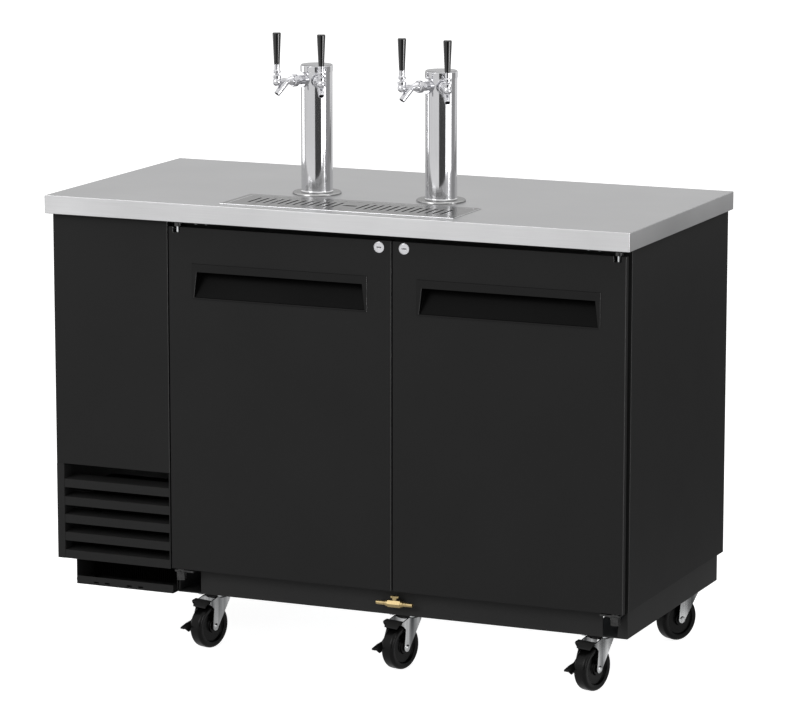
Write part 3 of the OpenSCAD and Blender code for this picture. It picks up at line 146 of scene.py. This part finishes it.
metal = {"Metallic": 1.0}
wornMetal = {"Metallic": 1.0, "Specular Tint": (0.5, 0.5, 0.5, 1.0)}  # less bright at a flat view
# grey edge tint that darkens the basin's reflections, part of its painted shade
shadedBasinMetal = {"Metallic": 1.0, "Specular Tint": (0.15, 0.15, 0.15, 1.0)}
dull = {"Specular IOR Level": 0.1}
finishLooks = {
    # 304 stainless sheet, brushed along the counter: fine lines that widen every highlight across them
    "brushedStainless": {"colours": ("#949495", "#A0A0A1"), "rough": (0.30, 0.42), "grain": (130, 1.2, 1.2),
                         "relief": 0.01, "shader": metal},
    # the apron's upright faces: the same brush lines with a paler colour painted in as their reflection of a
    # low light in front
    "paintedSheenApron": {"colours": ("#C4C4C5", "#D2D2D3"), "rough": (0.32, 0.44), "grain": (130, 1.2, 1.2),
                      "relief": 0.01, "shader": metal},
    # the same sheet pressed for the tray, dulled by washing, so that it stays dark at a flat view
    "pressedStainless": {"colours": ("#A4A4A4", "#BABABA"), "rough": (0.18, 0.28), "grain": (40, 1.0, 1.0),
                         "relief": 0.005, "shader": wornMetal},
    # drawn tube buffed along its length: a mirror with faint upright lines
    "buffedTube": {"colours": ("#D4D4D6", "#DFDFE1"), "rough": (0.06, 0.10), "grain": (0.9, 0.9, 70),
                   "relief": 0.002, "shader": metal},
    # chromed brass castings: the brightest mirror, softened by the casting's slow waves
    "chromedBrass": {"colours": ("#C2C2C5", "#D4D4D7"), "rough": (0.05, 0.10), "grain": (5, 5, 5),
                     "relief": 0.01, "shader": metal},
    # vinyl-coated steel: an embossed grain a little over 1 mm across that breaks the sheen into a soft black
    "vinylSteel": {"colours": ("#252525", "#2B2B2B"), "rough": (0.52, 0.64), "grain": (1.3, 1.3, 1.3),
                   "relief": 0.05, "shader": dull},
    # powder-coated sheet: a black close to the vinyl's, with a fine orange peel
    "powderCoat": {"colours": ("#282828", "#2F2F2F"), "rough": (0.46, 0.58), "grain": (2.4, 2.4, 2.4),
                   "relief": 0.04, "shader": dull},
    # the base sheet's front: the same powder coat painted a little paler as the light that falls on the front
    "paintedLightBaseFront": {"colours": ("#2F2F2F", "#373737"), "rough": (0.46, 0.58), "grain": (2.4, 2.4, 2.4),
                   "relief": 0.04, "shader": dull},
    # moulded ABS: spark-eroded texture of 0.6 mm, drawn at 0.9 mm so that it shows; its near-black is the
    # painted shade of the deep pocket
    "pocketShadeAbs": {"colours": ("#060606", "#0A0A0A"), "rough": (0.42, 0.54), "grain": (0.9, 0.9, 0.9),
                   "relief": 0.02, "shader": {"Specular IOR Level": 0.05}},
    # the same ABS on the handle's frame at its own tone, lighter than the painted shade of its pocket
    "grainedAbs": {"colours": ("#1F1F1F", "#252525"), "rough": (0.46, 0.58), "grain": (0.9, 0.9, 0.9),
                   "relief": 0.02, "shader": dull},
    # vinyl stretched round a fold of the sheet: smoother, so that it carries a thin line of light
    "stretchedFold": {"colours": ("#262626", "#2C2C2C"), "rough": (0.20, 0.28), "grain": (1.3, 1.3, 1.3),
                      "shader": {"Specular IOR Level": 0.7}},
    # the handle frame's right edge: glossy, with a paler colour painted in as its line of light (painted
    # highlight)
    "glossAndPaintedHighlightEdge": {"colours": ("#2A2A2A", "#303030"), "rough": (0.14, 0.20), "grain": (1.3, 1.3, 1.3),
                     "shader": {"Specular IOR Level": 1.0}},
    # polished phenolic: deep black under a clear gloss
    "polishedPhenolic": {"colours": ("#070707", "#0C0C0C"), "rough": (0.07, 0.12), "grain": (3, 3, 3),
                         "shader": {"Specular IOR Level": 0.35, "Coat Weight": 0.6, "Coat Roughness": 0.04}},
    # machined brass: turning marks and a slightly darker skin
    "machinedBrass": {"colours": ("#94805A", "#B8A57A"), "rough": (0.32, 0.46), "grain": (0.8, 4, 4),
                      "relief": 0.01, "shader": metal},
    # bright zinc over pressed steel: bluish white with soft blotches
    "brightZinc": {"colours": ("#C8CACC", "#E0E2E4"), "rough": (0.16, 0.26), "grain": (6, 6, 6), "cloud": 30,
                   "relief": 0.005, "shader": metal},
    # the forks' zinc with painted reflections: upright light and dark bands about 28 mm apart stand in for
    # the studio's reflections
    "zincWithPaintedReflections": {"colours": ("#3E4042", "#FCFDFE"), "rough": (0.14, 0.24), "grain": (28, 28, 500),
                     "cloudShare": 0.0, "shader": metal},
    # blackened steel of bosses and hinge cups, oiled and a little shiny; on the swivel heads the same dark
    # metal is painted shade from the shadow under the base
    "blackenedSteelAndPaintedShade": {"colours": ("#343434", "#4C4C4C"), "rough": (0.20, 0.32), "grain": (5, 5, 5),
                       "cloud": 20, "relief": 0.01, "shader": metal},
    # pressed steel deep in the tray, painted darker as the shade under the grid
    "basinPaintedShade": {"colours": ("#6A6A6A", "#7C7C7C"), "rough": (0.26, 0.38), "grain": (8, 8, 8), "cloud": 60,
                 "shader": shadedBasinMetal},
    # hard rubber tyre on its moulded centre: black, with a faint polish from the mould
    "mouldedRubber": {"colours": ("#050505", "#090909"), "rough": (0.20, 0.30), "grain": (0.8, 0.8, 0.8),
                      "relief": 0.02, "shader": {"Specular IOR Level": 0.15}},
    # extruded magnetic gasket in soft black vinyl
    "gasketVinyl": {"colours": ("#121212", "#1A1A1A"), "rough": (0.46, 0.58), "grain": (30, 2, 30),
                    "relief": 0.02, "shader": dull},
    # stucco-embossed aluminium: round bumps about 4 mm apart that sparkle one by one
    "stuccoAluminium": {"colours": ("#B3B6B8", "#D0D2D4"), "rough": (0.26, 0.40), "grain": (4, 4, 4),
                        "cells": "SMOOTH_F1", "relief": 0.35, "shader": metal},
    # hot-dip galvanised sheet: spangles about 12 mm across, each a slightly different grey
    "galvanisedSheet": {"colours": ("#8F9397", "#B2B6BA"), "rough": (0.32, 0.50), "grain": (12, 12, 12),
                        "cells": "F1", "shader": metal},
    # moulded polypropylene fan, pale grey and waxy
    "mouldedPolypropylene": {"colours": ("#B9BBBD", "#C9CBCD"), "rough": (0.38, 0.48), "grain": (4, 4, 4),
                             "relief": 0.01, "shader": {"IOR": 1.49}},
    # near-black of the fins, the shroud, the grid's slot walls and the key slots: painted shade of these
    # hollows, which swallows almost all light
    "paintedHollowShade": {"colours": ("#040404", "#080808"), "rough": (0.60, 0.75), "grain": (3, 3, 3),
                     "shader": {"Specular IOR Level": 0.08}},
}
finishes = {name: makeFinish(name, look) for name, look in finishLooks.items()}
print("finishes made,", len(finishes))


def pickOnly(piece):
    bpy.ops.object.select_all(action="DESELECT")
    piece.select_set(True)
    bpy.context.view_layer.objects.active = piece


# Merging of the CAD's triangles, and in degrees what counts as flat and from where an edge is sharp
meshCare = {"merge": 0.002, "flat": 0.3, "sharp": 38}


def roundEdges(piece, width, segments, **settings):
    rounding = piece.modifiers.new("roundEdges", "BEVEL")
    rounding.width = width * mm
    rounding.segments = segments
    for key, value in settings.items():
        setattr(rounding, key, value)
    bpy.ops.object.modifier_apply(modifier="roundEdges")


# A copy of a node's mesh with its loose triangles merged and its edges rounded stands for the node
def dressNode(node, finish, edge, segments):
    piece = bpy.data.objects.new(node + "_dressed", cadNodes[node].data.copy())
    scene.collection.objects.link(piece)
    pickOnly(piece)
    piece.data.materials.clear()
    piece.data.materials.append(finishes[finish])
    bpy.ops.mesh.customdata_custom_splitnormals_clear()
    bpy.ops.object.mode_set(mode="EDIT")
    bpy.ops.mesh.select_all(action="SELECT")
    bpy.ops.mesh.remove_doubles(threshold=meshCare["merge"] * mm)
    bpy.ops.mesh.dissolve_limited(angle_limit=math.radians(meshCare["flat"]))
    bpy.ops.object.mode_set(mode="OBJECT")
    sharp = math.radians(meshCare["sharp"])
    if edge:
        roundEdges(piece, edge, segments, limit_method="ANGLE", angle_limit=sharp, use_clamp_overlap=False)
    bpy.ops.object.shade_smooth_by_angle(angle=sharp)
    evenSides = piece.modifiers.new("evenSides", "WEIGHTED_NORMAL")
    evenSides.keep_sharp = True
    bpy.ops.object.modifier_apply(modifier="evenSides")
    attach(piece, bodyOf[node])
    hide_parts(node)
    return piece


# Each node's finish, the rounding of its edges and the steps of that rounding
outfits = {
    "counter_top": ("brushedStainless", 1.4, 3), "drip_pan": ("pressedStainless", 0.5, 2),
    "drip_grid": ("pressedStainless", 0.4, 1),
    "insulated_roof": ("vinylSteel", 0, 0), "rear_wall": ("galvanisedSheet", 0.8, 2),
    "right_wall": ("vinylSteel", 1.2, 3), "bay_partition": ("galvanisedSheet", 0, 0),
    "insulated_floor": ("galvanisedSheet", 0, 0), "centre_mullion": ("vinylSteel", 1.5, 2),
    "bay_side_panel": ("vinylSteel", 0.4, 2), "bay_front_panel": ("vinylSteel", 1.2, 3),
    "louvre_grille": ("powderCoat", 0.4, 2), "bay_base_pan": ("powderCoat", 0.3, 2),
    "base_frame": ("powderCoat", 0.5, 2), "hinge_brackets": ("powderCoat", 0.6, 2),
    # coil and shroud in the painted shade of the grille's gaps
    "compressor": ("powderCoat", 0.5, 2), "condenser_coil": ("paintedHollowShade", 0, 0),
    "fan_shroud": ("paintedHollowShade", 0.4, 1), "evaporator_housing": ("stuccoAluminium", 0.4, 2),
    "condenser_fan": ("mouldedPolypropylene", 0.3, 1), "evaporator_fan": ("mouldedPolypropylene", 0.3, 1),
    "tower_columns": ("buffedTube", 0.4, 2), "tower_caps": ("buffedTube", 0.6, 2),
    "faucet_shanks": ("chromedBrass", 0.5, 2), "coupling_nuts": ("chromedBrass", 0.4, 2),
    "faucet_bodies": ("chromedBrass", 0.3, 3), "drain_valve_body": ("machinedBrass", 0.3, 2),
    "drain_valve_lever": ("machinedBrass", 0.4, 3), "caster_plates": ("powderCoat", 0.5, 2),
}
for side in ("left", "right"):
    outfits[side + "_door"] = ("vinylSteel", 1.4, 3)
    outfits[side + "_door_gasket"] = ("gasketVinyl", 1.5, 3)
    outfits[side + "_door_handle"] = ("pocketShadeAbs", 0.7, 3)
    outfits[side + "_door_lock"] = ("chromedBrass", 0.4, 2)
for number in (1, 2, 3, 4):
    outfits[f"faucet_lever_{number}"] = ("chromedBrass", 0.4, 2)
    outfits[f"tap_handle_{number}"] = ("polishedPhenolic", 0.4, 2)
casters = [f"{row}_{spot}" for row in ("front", "rear") for spot in ("left", "middle", "right")]
for caster in casters:
    # forks carry painted reflection bands in their colour
    outfits["fork_" + caster] = ("zincWithPaintedReflections", 0.5, 3)
    outfits["wheel_" + caster] = ("mouldedRubber", 0.8, 2)
    if caster.startswith("front"):
        outfits["brake_" + caster] = ("powderCoat", 0.3, 2)
dressed = {node: dressNode(node, *outfit) for node, outfit in outfits.items()}
print("nodes dressed,", len(dressed))


# Faces of a piece that the test picks by their centre and the way they face take a second finish
def refinish(node, finish, isThere):
    piece = dressed[node]
    piece.data.materials.append(finishes[finish])
    for face in piece.data.polygons:
        if isThere(face.center, face.normal):
            face.material_index = len(piece.data.materials) - 1


# Second finishes: the apron painted paler as a painted reflection, liner sheet inside the keg room, bright
# pins, key slots in painted shade, and painted light or shade on the flange, the tray, the base's front and
# the swivel heads
liner = "stuccoAluminium"
tilt = {"straight": 0.9, "upward": 0.6, "upright": 0.5, "rimEdge": (0.15, 0.97), "fold": (0.25, 0.97),
        "foldFront": -0.2, "frameEdge": 0.1}  # shares of a face's normal along an axis
reach = {"boss": 12.4, "pin": 5.6, "flange": 12, "basin": 5, "rim": 2, "gridEdge": 4, "liner": 1, "frame": 2,
         "frameEdge": 1, "crown": 1.2, "key": 8, "keyDepth": (0.6, 7)}
doorLow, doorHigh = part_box("left_door")
pinXs = [jointAt[side + "_door_hinge"][0] for side in ("left", "right")]
pinY = jointAt["left_door_hinge"][1]
swivels = [place for name, place in jointAt.items() if name.startswith("swivel_")]
crownFoot = swivels[0][2] - reach["crown"] * mm  # height from which a fork is its swivel's crown
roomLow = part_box("insulated_floor")[0]
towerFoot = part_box("tower_columns")[0].z
capLow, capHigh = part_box("tower_caps")
capRadius = (capHigh.y - capLow.y) / 2
towerX, towerY = capHigh.x - capRadius, (capLow.y + capHigh.y) / 2
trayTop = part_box("drip_pan")[1].z
gridLow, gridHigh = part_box("drip_grid")


def pinDistance(at):
    return min(math.hypot(at.x - x, at.y - pinY) for x in pinXs)


def onFlange(at, facing):
    besideColumn = math.hypot(abs(at.x) - towerX, at.y - towerY) > capRadius
    return at.z < towerFoot + reach["flange"] * mm and (facing.z > tilt["upward"] or besideColumn)


def onPaintedRimHighlight(at, facing):
    return tilt["rimEdge"][0] < abs(facing.z) < tilt["rimEdge"][1] and at.z > trayTop - reach["rim"] * mm


def inGridSlot(at, facing):
    room = reach["gridEdge"] * mm
    insideX = gridLow.x + room < at.x < gridHigh.x - room
    insideY = gridLow.y + room < at.y < gridHigh.y - room
    return facing.z < tilt["upward"] and insideX and insideY


def onFold(at, facing):
    return tilt["fold"][0] < facing.x < tilt["fold"][1] and facing.y < tilt["foldFront"]


# the apron's upright faces take the paler colour: a painted reflection
refinish("counter_top", "paintedSheenApron", lambda at, facing: abs(facing.z) < tilt["upright"])
refinish("right_wall", liner, lambda at, facing: facing.x < -tilt["straight"] and at.y > roomLow.y)
refinish("rear_wall", liner, lambda at, facing: facing.y < -tilt["straight"])
refinish("insulated_floor", "vinylSteel", lambda at, facing: facing.y < -tilt["straight"])
refinish("bay_partition", liner, lambda at, facing: facing.x > tilt["straight"])
refinish("insulated_roof", liner, lambda at, facing: facing.z < -tilt["straight"] and at.z < doorHigh.z)
refinish("hinge_brackets", "blackenedSteelAndPaintedShade", lambda at, facing: pinDistance(at) < reach["boss"] * mm)
refinish("hinge_brackets", "brightZinc", lambda at, facing: pinDistance(at) < reach["pin"] * mm)
# the flange in the duller pressed steel: a painted reflection, darker as it stands in for the dark ceiling
refinish("tower_columns", "pressedStainless", onFlange)
refinish("tower_caps", "brushedStainless", lambda at, facing: facing.z > tilt["upward"])
# the basin below the rim takes the painted shade
refinish("drip_pan", "basinPaintedShade", lambda at, facing: at.z < trayTop - reach["basin"] * mm)
# the rim's rounded edges in the paler tube finish: painted highlight lines
refinish("drip_pan", "buffedTube", onPaintedRimHighlight)
# the grid's slot walls in painted shade
refinish("drip_grid", "paintedHollowShade", inGridSlot)
# the base's front faces painted paler: painted light
refinish("base_frame", "paintedLightBaseFront", lambda at, facing: facing.y < -tilt["upright"])
# the forks' swivel crowns darkened: painted shade under the base
for caster in casters:
    refinish("fork_" + caster, "blackenedSteelAndPaintedShade", lambda at, facing: at.z > crownFoot)
for node in ("right_wall", "left_door", "right_door", "bay_front_panel"):
    refinish(node, "stretchedFold", onFold)


# A door's liner, its handle's frame and its key slot
def finishDoor(side):
    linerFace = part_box(side + "_door")[1].y - reach["liner"] * mm
    frameFace = doorLow.y + reach["frame"] * mm
    edgeFace = doorLow.y + reach["frameEdge"] * mm
    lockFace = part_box(side + "_door_lock")[0].y
    slotFrom, slotTo = [lockFace + depth * mm for depth in reach["keyDepth"]]
    lockX, _, lockZ = jointAt[side + "_lock_turn"]

    def onFrameEdge(at, facing):
        return facing.x > tilt["fold"][0] and facing.y < tilt["frameEdge"] and at.y < edgeFace

    def inKeySlot(at, facing):
        return slotFrom < at.y < slotTo and math.hypot(at.x - lockX, at.z - lockZ) < reach["key"] * mm

    refinish(side + "_door", liner, lambda at, facing: facing.y > tilt["straight"] and at.y > linerFace)
    # the frame's front faces take the handle's own tone; the rest of the handle keeps the pocket's painted
    # shade
    refinish(side + "_door_handle", "grainedAbs",
             lambda at, facing: facing.y < -tilt["straight"] and at.y < frameFace)
    # painted highlight on the frame's right edge, on top of its real gloss
    refinish(side + "_door_handle", "glossAndPaintedHighlightEdge", onFrameEdge)
    # the key slot in painted shade
    refinish(side + "_door_lock", "paintedHollowShade", inKeySlot)


for side in ("left", "right"):
    finishDoor(side)
print("second finishes set")


# Heads of screws and bolts: each kind is modelled once, upright on the origin, and copied to its places
def buildHead(look):
    bpy.ops.object.select_all(action="DESELECT")
    bpy.ops.mesh.primitive_cylinder_add(vertices=look["sides"], radius=look["across"] / 2 * mm,
                                        depth=look["height"] * mm, location=(0, 0, look["height"] / 2 * mm))
    head = bpy.context.object
    bpy.ops.object.transform_apply(location=True, rotation=True, scale=True)
    for face in head.data.polygons:
        face.select = face.normal.z > tilt["straight"]
    bpy.ops.object.mode_set(mode="EDIT")
    bpy.ops.mesh.select_mode(type="FACE")
    bpy.ops.mesh.inset(thickness=look["shoulder"] * mm)
    bpy.ops.transform.translate(value=(0, 0, look["dome"] * mm))
    bpy.ops.mesh.inset(thickness=look["shoulder"] * mm)
    bpy.ops.mesh.extrude_region_move(TRANSFORM_OT_translate={"value": (0, 0, -look["recess"] * mm)})
    bpy.ops.object.mode_set(mode="OBJECT")
    roundEdges(head, look["edge"], 2)
    bpy.ops.object.shade_smooth_by_angle(angle=math.radians(meshCare["sharp"]))
    return head


# Joined pieces keep their own mesh at the origin and ride with the node they sit on
def settle(copies, name, node, finish):
    bpy.ops.object.select_all(action="DESELECT")
    for copy in copies:
        copy.select_set(True)
    bpy.context.view_layer.objects.active = copies[0]
    if len(copies) > 1:
        bpy.ops.object.join()
    piece = bpy.context.object
    bpy.ops.object.transform_apply(location=True, rotation=True, scale=True)
    piece.name = name
    piece.data.materials.clear()
    piece.data.materials.append(finishes[finish])
    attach(piece, bodyOf[node])


def placeHeads(head, places, facing, name, node, finish):
    copies = []
    for at in places:
        copy = bpy.data.objects.new(name, head.data.copy())
        scene.collection.objects.link(copy)
        copy.location = at
        copy.rotation_euler = Vector((0, 0, 1)).rotation_difference(Vector(facing)).to_euler()
        copies.append(copy)
    settle(copies, name, node, finish)


def between(start, end, count):
    return [start + (end - start) * step / (count - 1) for step in range(count)]


panHead = buildHead({"sides": 24, "across": 9, "height": 0.8, "shoulder": 1.6, "dome": 0.8, "recess": 0.9,
                     "edge": 0.15})
hexHead = buildHead({"sides": 6, "across": 13, "height": 3.4, "shoulder": 0.7, "dome": 0.4, "recess": 0.5,
                     "edge": 0.15})
backward, downward, leftward = (0, 1, 0), (0, 0, -1), (-1, 0, 0)

rearScrews = {"sideInset": 20, "endInset": 22, "along": 7, "up": 4}
rearLow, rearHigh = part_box("rear_wall")
rearXs = between(rearLow.x + rearScrews["sideInset"] * mm, rearHigh.x - rearScrews["sideInset"] * mm,
                 rearScrews["along"])
rearZs = between(rearLow.z + rearScrews["endInset"] * mm, rearHigh.z - rearScrews["endInset"] * mm,
                 rearScrews["up"])
rearPlaces = [(x, rearHigh.y, z) for x in rearXs for z in (rearZs[0], rearZs[-1])]
rearPlaces += [(x, rearHigh.y, z) for x in (rearXs[0], rearXs[-1]) for z in rearZs[1:-1]]
placeHeads(panHead, rearPlaces, backward, "rearWallScrews", "rear_wall", "brightZinc")

bayScrews = {"sideInset": 22, "endInset": 30, "up": 4}
sideLow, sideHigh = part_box("bay_side_panel")
bayXs = (sideLow.x + bayScrews["sideInset"] * mm, sideHigh.x - bayScrews["sideInset"] * mm)
bayZs = between(sideLow.z + bayScrews["endInset"] * mm, sideHigh.z - bayScrews["endInset"] * mm,
                bayScrews["up"])
bayPlaces = [(x, sideHigh.y, z) for x in bayXs for z in bayZs]
placeHeads(panHead, bayPlaces, backward, "bayBackScrews", "bay_side_panel", "brightZinc")

hingeScrews = {"plate": 5, "back": 12, "out": (47, 74)}
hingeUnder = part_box("hinge_brackets")[1].z - hingeScrews["plate"] * mm
hingeScrewY = doorLow.y + hingeScrews["back"] * mm
hingePlaces = [(pinX + way * out * mm, hingeScrewY, hingeUnder) for pinX, way in zip(pinXs, (1, -1))
               for out in hingeScrews["out"]]
placeHeads(panHead, hingePlaces, downward, "hingePlateScrews", "hinge_brackets", "brightZinc")

plateBolts = {"across": 26, "along": 36, "plate": 4}
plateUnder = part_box("caster_plates")[1].z - plateBolts["plate"] * mm
boltPlaces = [(swivel[0] + wayX * plateBolts["across"] * mm, swivel[1] + wayY * plateBolts["along"] * mm,
               plateUnder) for swivel in swivels for wayX in (-1, 1) for wayY in (-1, 1)]
placeHeads(hexHead, boltPlaces, downward, "casterPlateBolts", "caster_plates", "brightZinc")

lipBolt = {"back": 11, "up": 10}
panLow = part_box("bay_base_pan")[0]
lipPlace = (panLow.x, panLow.y + lipBolt["back"] * mm, panLow.z + lipBolt["up"] * mm)
placeHeads(hexHead, [lipPlace], leftward, "panLipBolt", "bay_base_pan", "powderCoat")
for head in (panHead, hexHead):
    bpy.data.objects.remove(head)

# Wire guard over the evaporator's fan: three rings on eight spokes that end on the housing's face
guard = {"rings": (88, 62, 36), "wire": 1.3, "spokes": 8, "stand": 3, "spokeLength": 66, "spokeMiddle": 68,
         "ringSteps": 72, "wireSteps": 10, "smooth": 50}
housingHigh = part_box("evaporator_housing")[1]
fanLow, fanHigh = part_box("evaporator_fan")
guardAt = Vector((housingHigh.x + guard["stand"] * mm, (fanLow.y + fanHigh.y) / 2,
                  (fanLow.z + fanHigh.z) / 2))
wireRadius = guard["wire"] * mm
wires = []
for radius in guard["rings"]:
    bpy.ops.object.select_all(action="DESELECT")
    bpy.ops.mesh.primitive_torus_add(major_radius=radius * mm, minor_radius=wireRadius,
                                     major_segments=guard["ringSteps"], minor_segments=guard["wireSteps"],
                                     location=guardAt, rotation=(0, math.pi / 2, 0))
    wires.append(bpy.context.object)
for step in range(guard["spokes"]):
    turn = 2 * math.pi * step / guard["spokes"]
    outward = Vector((0, math.sin(turn), math.cos(turn))) * guard["spokeMiddle"] * mm
    bpy.ops.object.select_all(action="DESELECT")
    bpy.ops.mesh.primitive_cylinder_add(vertices=guard["wireSteps"], radius=wireRadius,
                                        depth=guard["spokeLength"] * mm, rotation=(-turn, 0, 0),
                                        location=guardAt + outward - Vector((wireRadius, 0, 0)))
    wires.append(bpy.context.object)
settle(wires, "evaporatorFanGuard", "evaporator_housing", "brightZinc")
bpy.ops.object.shade_smooth_by_angle(angle=math.radians(guard["smooth"]))
print("hardware placed")


# Studio: a white sweep for the eye and for mirrors, a softer white for plain light
studio = {"softLight": 0.5, "sweep": 1.0, "floorSize": 60, "floorTone": "#D2D2D2", "floorForEye": 0.93,
          "floorForMirrors": 0.45, "aim": (0, 0, 0.8)}
white = linear("#FFFFFF")
world = bpy.data.worlds.new("studioWorld")
scene.world = world
worldTree = emptyTree(world)
rays = addNode(worldTree, "ShaderNodeLightPath").outputs
seen = addNode(worldTree, "ShaderNodeMath", None, {0: rays["Is Camera Ray"], 1: rays["Is Glossy Ray"]},
               operation="MAXIMUM")
seenThrough = addNode(worldTree, "ShaderNodeMath", None,
                      {0: seen.outputs["Value"], 1: rays["Is Transmission Ray"]}, operation="MAXIMUM")
softLight = addNode(worldTree, "ShaderNodeBackground", {"Color": white, "Strength": studio["softLight"]})
whiteSweep = addNode(worldTree, "ShaderNodeBackground", {"Color": white, "Strength": studio["sweep"]})
chosen = addNode(worldTree, "ShaderNodeMixShader", None,
                 {0: seenThrough.outputs["Value"], 1: softLight.outputs["Background"],
                  2: whiteSweep.outputs["Background"]})
addNode(worldTree, "ShaderNodeOutputWorld", None, {"Surface": chosen.outputs["Shader"]})

# The floor shines for the eye, so that it stays white, and a little for mirrors
floorMaterial = bpy.data.materials.new("paleFloor")
floorTree = emptyTree(floorMaterial)
floorRays = addNode(floorTree, "ShaderNodeLightPath").outputs
forMirrors = addNode(floorTree, "ShaderNodeMath", {1: studio["floorForMirrors"]},
                     {0: floorRays["Is Glossy Ray"]}, operation="MULTIPLY")
forEye = addNode(floorTree, "ShaderNodeMath", {1: studio["floorForEye"]},
                 {0: floorRays["Is Camera Ray"], 2: forMirrors.outputs["Value"]}, operation="MULTIPLY_ADD")
floorPaint = addNode(floorTree, "ShaderNodeBsdfDiffuse", {"Color": linear(studio["floorTone"])})
floorGlow = addNode(floorTree, "ShaderNodeEmission", {"Color": white}, {"Strength": forEye.outputs["Value"]})
floorSum = addNode(floorTree, "ShaderNodeAddShader", None,
                   {0: floorPaint.outputs["BSDF"], 1: floorGlow.outputs["Emission"]})
addNode(floorTree, "ShaderNodeOutputMaterial", None, {"Surface": floorSum.outputs["Shader"]})
bpy.ops.object.select_all(action="DESELECT")
bpy.ops.mesh.primitive_plane_add(size=studio["floorSize"], location=(0, 0, 0))
floor = bpy.context.object
floor.name = "studioFloor"
floor.data.materials.append(floorMaterial)

# Lamps: the plain ones light everything, the others are only seen in mirrors
softboxes = {
    "keySoftbox": {"at": (-3.2, -6.0, 4.2), "size": (3.2, 3.2), "power": 140, "plain": True},
    "overheadSoftbox": {"at": (0.3, 0.4, 4.8), "size": (3.6, 2.2), "power": 20, "plain": True},
    "rightStrip": {"at": (4.5, -1.1, 0.8), "size": (3.4, 1.6), "power": 38, "plain": False},
    "leftStrip": {"at": (-4.4, 0.1, 0.7), "size": (1.9, 1.2), "power": 13, "plain": False},
    "tapStrip": {"at": (3.5, -0.6, 0.85), "size": (0.5, 1.4), "power": 26, "plain": False},
}
aim = Vector(studio["aim"])
for name, box in softboxes.items():
    lamp = bpy.data.lights.new(name, "AREA")
    lamp.shape = "RECTANGLE"
    lamp.size, lamp.size_y = box["size"]
    lamp.energy = box["power"]
    holder = bpy.data.objects.new(name, lamp)
    holder.location = box["at"]
    holder.rotation_euler = (aim - holder.location).to_track_quat("-Z", "Y").to_euler()
    holder.visible_camera = False
    holder.visible_diffuse = box["plain"]
    scene.collection.objects.link(holder)

# Cards that only mirrors see; each shines by itself, so that its tone doesn't hang on the lamps
cards = {
    "cameraCard": {"at": (2.37, -3.94), "turn": 31, "size": (3.7, 1.1), "tone": "#484848"},
    "rightBackCard": {"at": (4.06, 2.16), "turn": 118, "size": (2.9, 2.4), "tone": "#9A9A9A"},
    "sideCard": {"at": (0.95, 0.9), "turn": 90, "size": (2.6, 1.06), "tone": "#8C8C8C"},
    "leftBackCard": {"at": (-2.3, 3.98), "turn": -150, "size": (2.2, 1.0), "tone": "#404040"},
    "leftCard": {"at": (-4.56, 0.64), "turn": -98, "size": (5.0, 1.0), "tone": "#B8B8B8"},
}
for name, card in cards.items():
    width, height = card["size"]
    cardMaterial = bpy.data.materials.new(name)
    cardTree = emptyTree(cardMaterial)
    cardGlow = addNode(cardTree, "ShaderNodeEmission", {"Color": linear(card["tone"]), "Strength": 1.0})
    addNode(cardTree, "ShaderNodeOutputMaterial", None, {"Surface": cardGlow.outputs["Emission"]})
    bpy.ops.object.select_all(action="DESELECT")
    bpy.ops.mesh.primitive_plane_add(size=1, location=(*card["at"], height / 2),
                                     rotation=(math.pi / 2, 0, math.radians(card["turn"])))
    panel = bpy.context.object
    panel.name = name
    panel.scale = (width, height, 1)
    panel.data.materials.append(cardMaterial)
    panel.visible_camera = False
    panel.visible_diffuse = False
    panel.visible_shadow = False
print("studio set")
